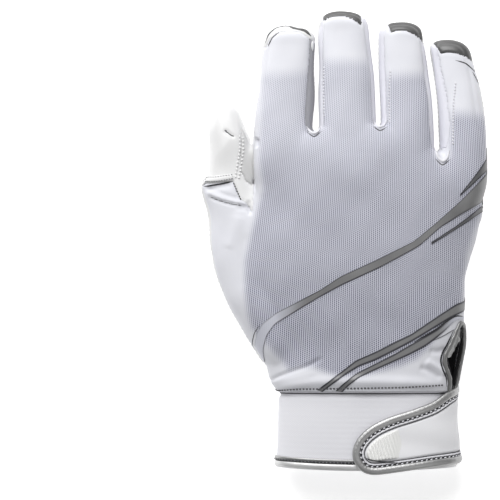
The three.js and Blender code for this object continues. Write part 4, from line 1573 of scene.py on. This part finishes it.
# each row: distance from the strap's edge, length, thickness, look
STRAP_STITCHES = {
    "strap_stitches": (4.1, 1.25, 0.8, "elastic"),
    "strap_lip_stitches": (4.75, 0.9, 0.5, "dark_thread_and_shade"),
}
for name, (aside, length, thick, look) in STRAP_STITCHES.items():
    placed, ways = on_cuff(inset(strap_line, aside), STRAP_TOP + 0.2)
    piece(name, stitches(placed, ways, 2.5, length, thick, tilt=0.15), look)
patch_foot = seen([(363, 455.5), (368, 458), (377, 459.6), (387, 460.4), (396, 461)])
placed, ways = on_cuff(curved(unrolled(patch_foot), 0.5), STRAP_TOP + 0.7)
share = np.linspace(0, 1, len(placed))
taper = 0.3 + 0.7 * ease(0, 0.2, share) * ease(1, 0.6, share)
piece("strap_patch_line", sweep(placed, ways, 0.3 * taper, 0.25, count=8), "dark_thread_and_shade")

# Ribbed pull patch at the strap's round end

PATCH_RIB = 1.6
patch_end = unrolled(seen([(404, 463), (400, 424)]))
patch_outline = inset(strap_line, 6.6)
before_end = patch_outline[:, 0] < np.interp(patch_outline[:, 1], patch_end[:, 1], patch_end[:, 0])
patch_outline = patch_outline[before_end]


def patch_height(flat):
    edge = -outside(patch_outline, flat)
    across = flat[:, 0] - patch_outline[:, 0].min()
    turns = (across + flat[:, 1] * 0.28) * 2 * np.pi / PATCH_RIB
    rib = (0.5 + 0.5 * np.cos(turns)) * ease(0.5, 1.4, edge) * (0.1 + 0.9 * ease(17, 9, across))
    return STRAP_TOP + mix(-0.7, 0.7, ease(0, 0.8, edge) * ease(20, 12, across)) + 0.8 * rib


patch = strap_sheet(patch_outline, 0.25, patch_height)
piece("strap_patch_ribbed", patch, "pull_patch", ["strap_patch"], wall=0.6)

# Silver bands, as thin film on the back
# each row: the upper edge and the lower edge in the photograph's frame
FILMS = {
    "stripe_upper": (
        [(500, 156), (483.8, 176), (459, 201.5), (436, 222), (413, 241), (375, 260), (340, 276),
            (320.7, 289), (298, 301), (276.6, 312), (263, 322), (257, 332), (254.8, 345)],
        [(500, 188), (480, 203), (459, 215), (438, 228), (417, 246.5), (379, 267), (340, 285), (318, 297),
            (295, 311), (274, 324), (266, 336), (263, 350), (265, 362)],
    ),
    "stripe_upper_edge": (
        [(500, 140), (485, 160), (478, 170), (468, 183), (458.5, 195)],
        [(500, 158), (485, 172), (478, 178.5), (468, 188), (458.5, 196.5)],
    ),
    "stripe_upper_foot": (
        [(496, 195), (480, 207), (470, 215), (455, 226), (430, 242)],
        [(496, 205), (478, 214), (468, 221), (452, 231), (430, 244.5)],
    ),
    "stripe_lower": (
        [(474, 297), (466, 300), (455, 304), (443, 311.5), (430, 320), (410, 333.5), (392, 342),
            (375, 350.8), (355, 359.5), (341.7, 370), (323.3, 384), (317, 389)],
        [(474, 307), (464, 311), (450, 317), (440, 323), (425, 332), (410, 341), (392, 350.5), (375, 359),
            (358, 365.5), (345, 373.5), (330, 384.5), (322, 391)],
    ),
    "stripe_lower_foot": (
        [(464, 316.8), (454, 316), (446, 321), (437, 328), (425, 335), (410, 343.5), (392, 354),
            (375, 362.5), (355, 372.7), (341.7, 383.3), (335, 390)],
        [(464, 318.5), (454, 319.5), (446, 328), (437, 336), (425, 345), (410, 353), (392, 361),
            (375, 368.5), (358, 376.5), (346, 386), (342, 391)],
    ),
}
# From where to where a band turns pale, across the photograph's frame
FILM_FADES = {"stripe_upper": (310, 272), "stripe_lower_foot": (434, 456)}
FILM_COLUMNS = 16
FILM_STEP = 0.6
NARROW_FILMS = ("stripe_upper_edge", "stripe_upper_foot")


def even_count(line, count):
    """A line drawn again with a given count of points."""
    share, own = np.linspace(0, 1, count), np.linspace(0, 1, len(line))
    return np.stack([np.interp(share, own, line[:, k]) for k in (0, 1)], axis=1)


def film_sheet(name, lines):
    """A band between two lines, with its dark rim and the stretch where it turns pale."""
    edges = [to_seam(curved(seen(line), FILM_STEP, times=8)) for line in lines]
    top, bottom = (even_count(edge, max(map(len, edges))) for edge in edges)
    width = np.linalg.norm(top - bottom, axis=1)
    pale_from, pale_to = FILM_FADES.get(name, (0, -1))
    rows, rims, pales = [], [], []
    for t in np.linspace(0, 1, FILM_COLUMNS):
        line = top * (1 - t) + bottom * t
        rows.append(on_hand(line, 0.28, smooth=12)[0])
        rims.append(np.minimum(t, 1 - t) * width)
        pales.append(ease(seen([pale_from, 0])[0], seen([pale_to, 0])[0], line[:, 0]))
    bm = skin(np.array(rows), around=False)
    pale = np.array(pales).ravel()
    rim = ease(mix(1.1, 0.7, pale), 0.4, np.array(rims).ravel())
    rim = rim * (1 - pale * (0.4 if name == "stripe_upper" else 1.0))
    set_layer(bm, "rim", np.maximum(rim, 0.45 if name in NARROW_FILMS else 0.0))
    set_layer(bm, "pale", pale)
    set_layer(bm, "cloth", on_flat(points_of(bm)))
    face_up(bm)
    return bm


for name, lines in FILMS.items():
    piece(f"{name}_film", film_sheet(name, lines), "silver_film", [name], wall=0.3)

# Vent: binding, a near-black sheet inside it that is painted shade for the glove's dark inside, and the
# leather inside its upper half
vent_edge = curved(VENT, 0.6, closed=True, times=8)
vent_points, vent_ways = on_hand(vent_edge, 0.1, smooth=14, closed=True)
wobble = 1 + 0.1 * np.sin(np.arange(len(vent_points)) * 0.9)
vent_tape = sweep(smooth_line(vent_points, 6, True), vent_ways, 1.25 * wobble, 1.1, closed=True, square=2.2)
piece("vent_binding_tape", vent_tape, "silver_dark", ["vent_binding"])


def sunk_sheet(outline, step, depth):
    """A sheet inside the hand that follows its surface at a depth, which may be a function of (u, v)."""

    def place(flat):
        placed, ways = on_hand(flat, 0.0, smooth=0)
        return placed - ways * (depth(flat)[:, None] if callable(depth) else depth)

    bm = cut_sheet(outline, step, place)
    relax(bm, 4)
    return bm


middle_of_vent = VENT.mean(axis=0)
grown = (VENT - middle_of_vent) * np.array([1.35, 1.12]) + middle_of_vent
# a near-black sheet under the vent: painted shade
piece("vent_inside_shade", sunk_sheet(grown, 0.6, 2.6), "inside_shade_black", wall=0.5)
TONGUE = seen([
    (459, 322), (463.5, 330), (463, 341), (459, 345), (456.5, 350), (451, 358), (446.5, 358.5),
    (447, 348), (452, 338), (456, 328),
])


def tongue_depth(flat):
    """How deep the leather lies, with its ripples."""
    return 1.5 + 0.25 * np.sin(flat[:, 0] * 1.9 + flat[:, 1] * 1.2)


tongue = sunk_sheet(TONGUE, 0.5, tongue_depth)
piece("vent_tongue_leather", tongue, "silver_cord", ["vent_tongue"], wall=0.6)

# Care label, plain, a flat strip on the palm side that runs from just past the hem up the cuff
label_u = np.linspace(-11.5, 3.5, 16)
label_v = np.linspace(-1.8, 29.0, 34)
u, v = np.meshgrid(label_u, label_v)
z = 0.55 + 0.1 * np.sin(v * 0.35 + u * 0.2)
label = skin(np.stack([u, v, z], axis=-1), around=False)
label.normal_update()
piece("label_ribbon", label, "label", ["label"], wall=0.36)

# Cords and pipings on the back: a line in the photograph's frame, half width, half height, lift, look, slot
CORDS = {
    "piping_index_middle": ([(306, 127), (309, 132), (313.6, 135), (318, 132.5), (321, 127)],
        0.7, 0.6, 0.3, "thread_white", "knit"),
    "piping_middle_ring": ([(371.5, 119), (374.5, 126), (379, 129), (384, 126.5), (387.5, 120)],
        0.7, 0.6, 0.3, "thread_white", "knit"),
    "piping_ring_little": ([(433.5, 148), (436, 157), (441, 163), (446, 159.5), (449, 150)],
        0.7, 0.6, 0.3, "thread_white", "knit"),
    # dark grey cords under the pipings: painted shade in the creases at the finger roots
    "crease_shade_index_middle": ([(306, 132), (313.6, 138.3), (321, 132)], 0.3, 0.3, 0.0, "grey_thread_and_shade", "knit"),
    "crease_shade_middle_ring": ([(372, 126.5), (379, 132.2), (386.5, 127.5)],
        0.3, 0.3, 0.0, "grey_thread_and_shade", "knit"),
    "crease_shade_ring_little": ([(434, 159), (441, 166.5), (449, 160)], 0.3, 0.3, 0.0, "grey_thread_and_shade", "knit"),
    "little_line_upper": ([(455, 60.5), (466, 63.5), (474.5, 71), (480.5, 81)],
        0.3, 0.25, 0.0, "dark_thread_and_shade", "knit"),
    "little_line_lower": ([(472.5, 72), (477.5, 81), (482.5, 94)], 0.3, 0.25, 0.0, "dark_thread_and_shade", "knit"),
    "vent_line": ([(413, 341.5), (419, 337.6), (428, 333), (437, 327.3), (446, 320.3), (454, 315.6),
        (461, 315.8), (465, 318)], 0.42, 0.26, 0.2, "dark_thread_and_shade", "silver_film"),
    "vent_inner_shade": ([(462.3, 333), (460.3, 348), (458, 360), (454.8, 372), (452.2, 384), (450, 393)],
        1.5, 0.4, 0.0, "inside_shade_black", "side_fabric"),
    "vent_line_low": ([(432, 340), (443, 335), (454, 328.5)], 0.2, 0.2, 0.1, "grey_thread_and_shade", "silver_film"),
    "vent_inner_line": ([(458, 328), (452.5, 341), (448, 350), (446, 358), (448.5, 367), (451.5, 376)],
        0.3, 0.3, 0.0, "dark_thread_and_shade", "silver_trim"),
    "vent_edge_line": ([(452.5, 330), (446, 344), (441, 353), (439.3, 360), (441.3, 368.5),
        (445.4, 376.5), (446, 386)], 0.45, 0.3, 0.1, "dark_thread_and_shade", "silver_trim"),
    "thumb_band": ([(197, 180.6), (208, 179.8), (220, 178.7), (232.6, 176.9)],
        1.45, 0.55, 0.35, "leather", "leather"),
    "index_arc_outer": ([(265.5, 43), (268.5, 34), (276, 27.5), (286, 25.4), (297, 27.8)],
        0.4, 0.26, 0.1, "grey_thread_and_shade", "leather"),
    "index_arc_inner": ([(268, 46.5), (272, 38), (279, 32.5)], 0.34, 0.26, 0.1, "grey_thread_and_shade", "leather"),
    # a dark cord below the thumb's band: painted shadow under the band
    "thumb_band_shadow_line": ([(204, 186.4), (212, 185.4), (222, 183.8), (233, 181.6)],
        0.38, 0.3, 0.1, "dark_thread_and_shade", "leather"),
    # a dark cord in the thumb's crease: painted shade in the crease
    "thumb_crease_shade": ([(223.5, 129), (227, 132.5), (231, 135.5), (235, 137)],
        0.5, 0.3, -0.12, "grey_thread_and_shade", "leather"),
    # a thin dark cord along the fold's lower edge: painted shadow under the thumb's ridge
    "thumb_ridge_shade_line": ([(209, 196.4), (217, 200), (227, 203), (237, 205.2), (247, 206)],
        0.24, 0.2, -0.1, "grey_thread_and_shade", "knit"),
    "stripe_upper_line": ([(260, 324), (254.5, 332), (252.3, 341), (253, 349)],
        0.2, 0.2, 0.05, "grey_thread_and_shade", "silver_film"),
    "index_wedge": ([(290, 27), (298, 29.5), (305, 30), (311, 36)],
        0.9, 0.3, 0.1, "silver_leather", "leather"),
    "index_leaf": ([(314.5, 36), (316, 44), (315, 51)], 0.8, 0.35, 0.2, "silver_film_plain", "leather"),
}
for name, (line, wide, high, lift, look, slot) in CORDS.items():
    path = to_seam(curved(seen(line), 0.5, times=6))
    placed, ways = on_hand(path, lift, smooth=10)
    placed = smooth_line(placed, 3)
    share = np.linspace(0, 1, len(path))
    taper = 1.0 if name == "thumb_band" else 0.25 + 0.75 * ease(0, 0.25, share) * ease(0, 0.25, 1 - share)
    piece(name, sweep(placed, ways, wide * taper, high * taper), look)

# Rows of stitches on the back: a line, pitch, length, thickness, lift, tilt, look, slot
SEAM_STITCHES = {
    "cuff_stitches": ([(275, 390.4), (288, 389), (300, 388.2), (345, 387.4), (400, 386.4), (441, 384.4)],
        1.7, 1.25, 0.95, 0.15, 0.0, "grey_thread_and_shade", "knit"),
    "thumb_band_stitches_upper": ([(200, 178.6), (216, 177.4), (231.5, 175)],
        1.3, 0.8, 0.45, 0.85, 0.0, "grey_thread_and_shade", "leather"),
    "thumb_band_stitches_lower": ([(200, 182.2), (216, 181.2), (232, 178.8)],
        1.3, 0.8, 0.45, 0.75, 0.0, "grey_thread_and_shade", "leather"),
    "thumb_seam_stitches": ([(234, 184), (237, 191), (240.5, 199)],
        1.3, 1.0, 0.7, 0.1, 0.0, "dark_thread_and_shade", "leather"),
    "thumb_column_left": ([(239.5, 137), (240, 148), (238, 162), (235.5, 177)],
        1.8, 1.3, 1.1, 0.1, 0.8, "leather", "leather"),
    "thumb_column_right": ([(243, 138), (243.5, 150), (241.5, 164), (239, 178)],
        1.8, 1.3, 1.1, 0.1, -0.8, "leather", "leather"),
    "middle_side_stitches": ([(324, 68), (323.5, 90), (324, 116)],
        1.6, 1.2, 0.95, 0.05, 0.6, "thread_white", "knit"),
    "ring_side_stitches": ([(390, 72), (388.5, 95), (389, 122)],
        1.6, 1.2, 0.95, 0.05, 0.6, "thread_white", "knit"),
    "little_side_stitches": ([(455, 84), (452.8, 104), (452.3, 122), (452, 144)],
        1.6, 1.3, 1.0, 0.05, 0.6, "thread_white", "knit"),
}
for name, (line, pitch, length, thick, lift, tilt, look, slot) in SEAM_STITCHES.items():
    placed, ways = on_hand(curved(seen(line), 0.5, times=4), 0.0, smooth=10)
    piece(name, stitches(placed, ways, pitch, length, thick, lift, tilt), look)

# Stitches round the palm, just below its seam
PALM_STITCH_DROP = 3.4
palm = panel("palm_panel")
rows_of_thread = []
for line in open_lines(palm):
    places = np.array([v.co for v in line], float)
    on_seam = np.abs(over_palm(places)) < 0.4
    breaks = np.flatnonzero(np.diff(on_seam.astype(int))) + 1
    for run, kept in zip(np.split(places, breaks), np.split(on_seam, breaks)):
        if kept[0] and len(run) > 30:
            low = smooth_line(spaced(run, 1.0), 4) - np.array([0, 0, PALM_STITCH_DROP])
            hits = [surface.find_nearest(Vector(p)) for p in low]
            placed = smooth_line([h[0] for h in hits], 4)
            ways = smooth_line([h[1] for h in hits], 6)
            rows_of_thread.append(stitches(placed, ways, 2.4, 1.5, 0.5, 0.0))
palm.free()
piece("palm_edge_stitches", joined(rows_of_thread), "thread_white")

# The row of stitches over the hem's binding, on a near-black cord that is painted shade in the stitch groove
ring = cuff_ring(4.6, 0.0, 260, 0.25)
outward = out_of_wrist(ring)
piece("hem_groove_shade", sweep(ring, outward, 0.55, 0.4, closed=True, count=8), "dark_thread_and_shade")
piece("hem_stitches", stitches(ring, outward, 1.8, 0.55, 0.7, 0.4, closed=True), "silver_trim")
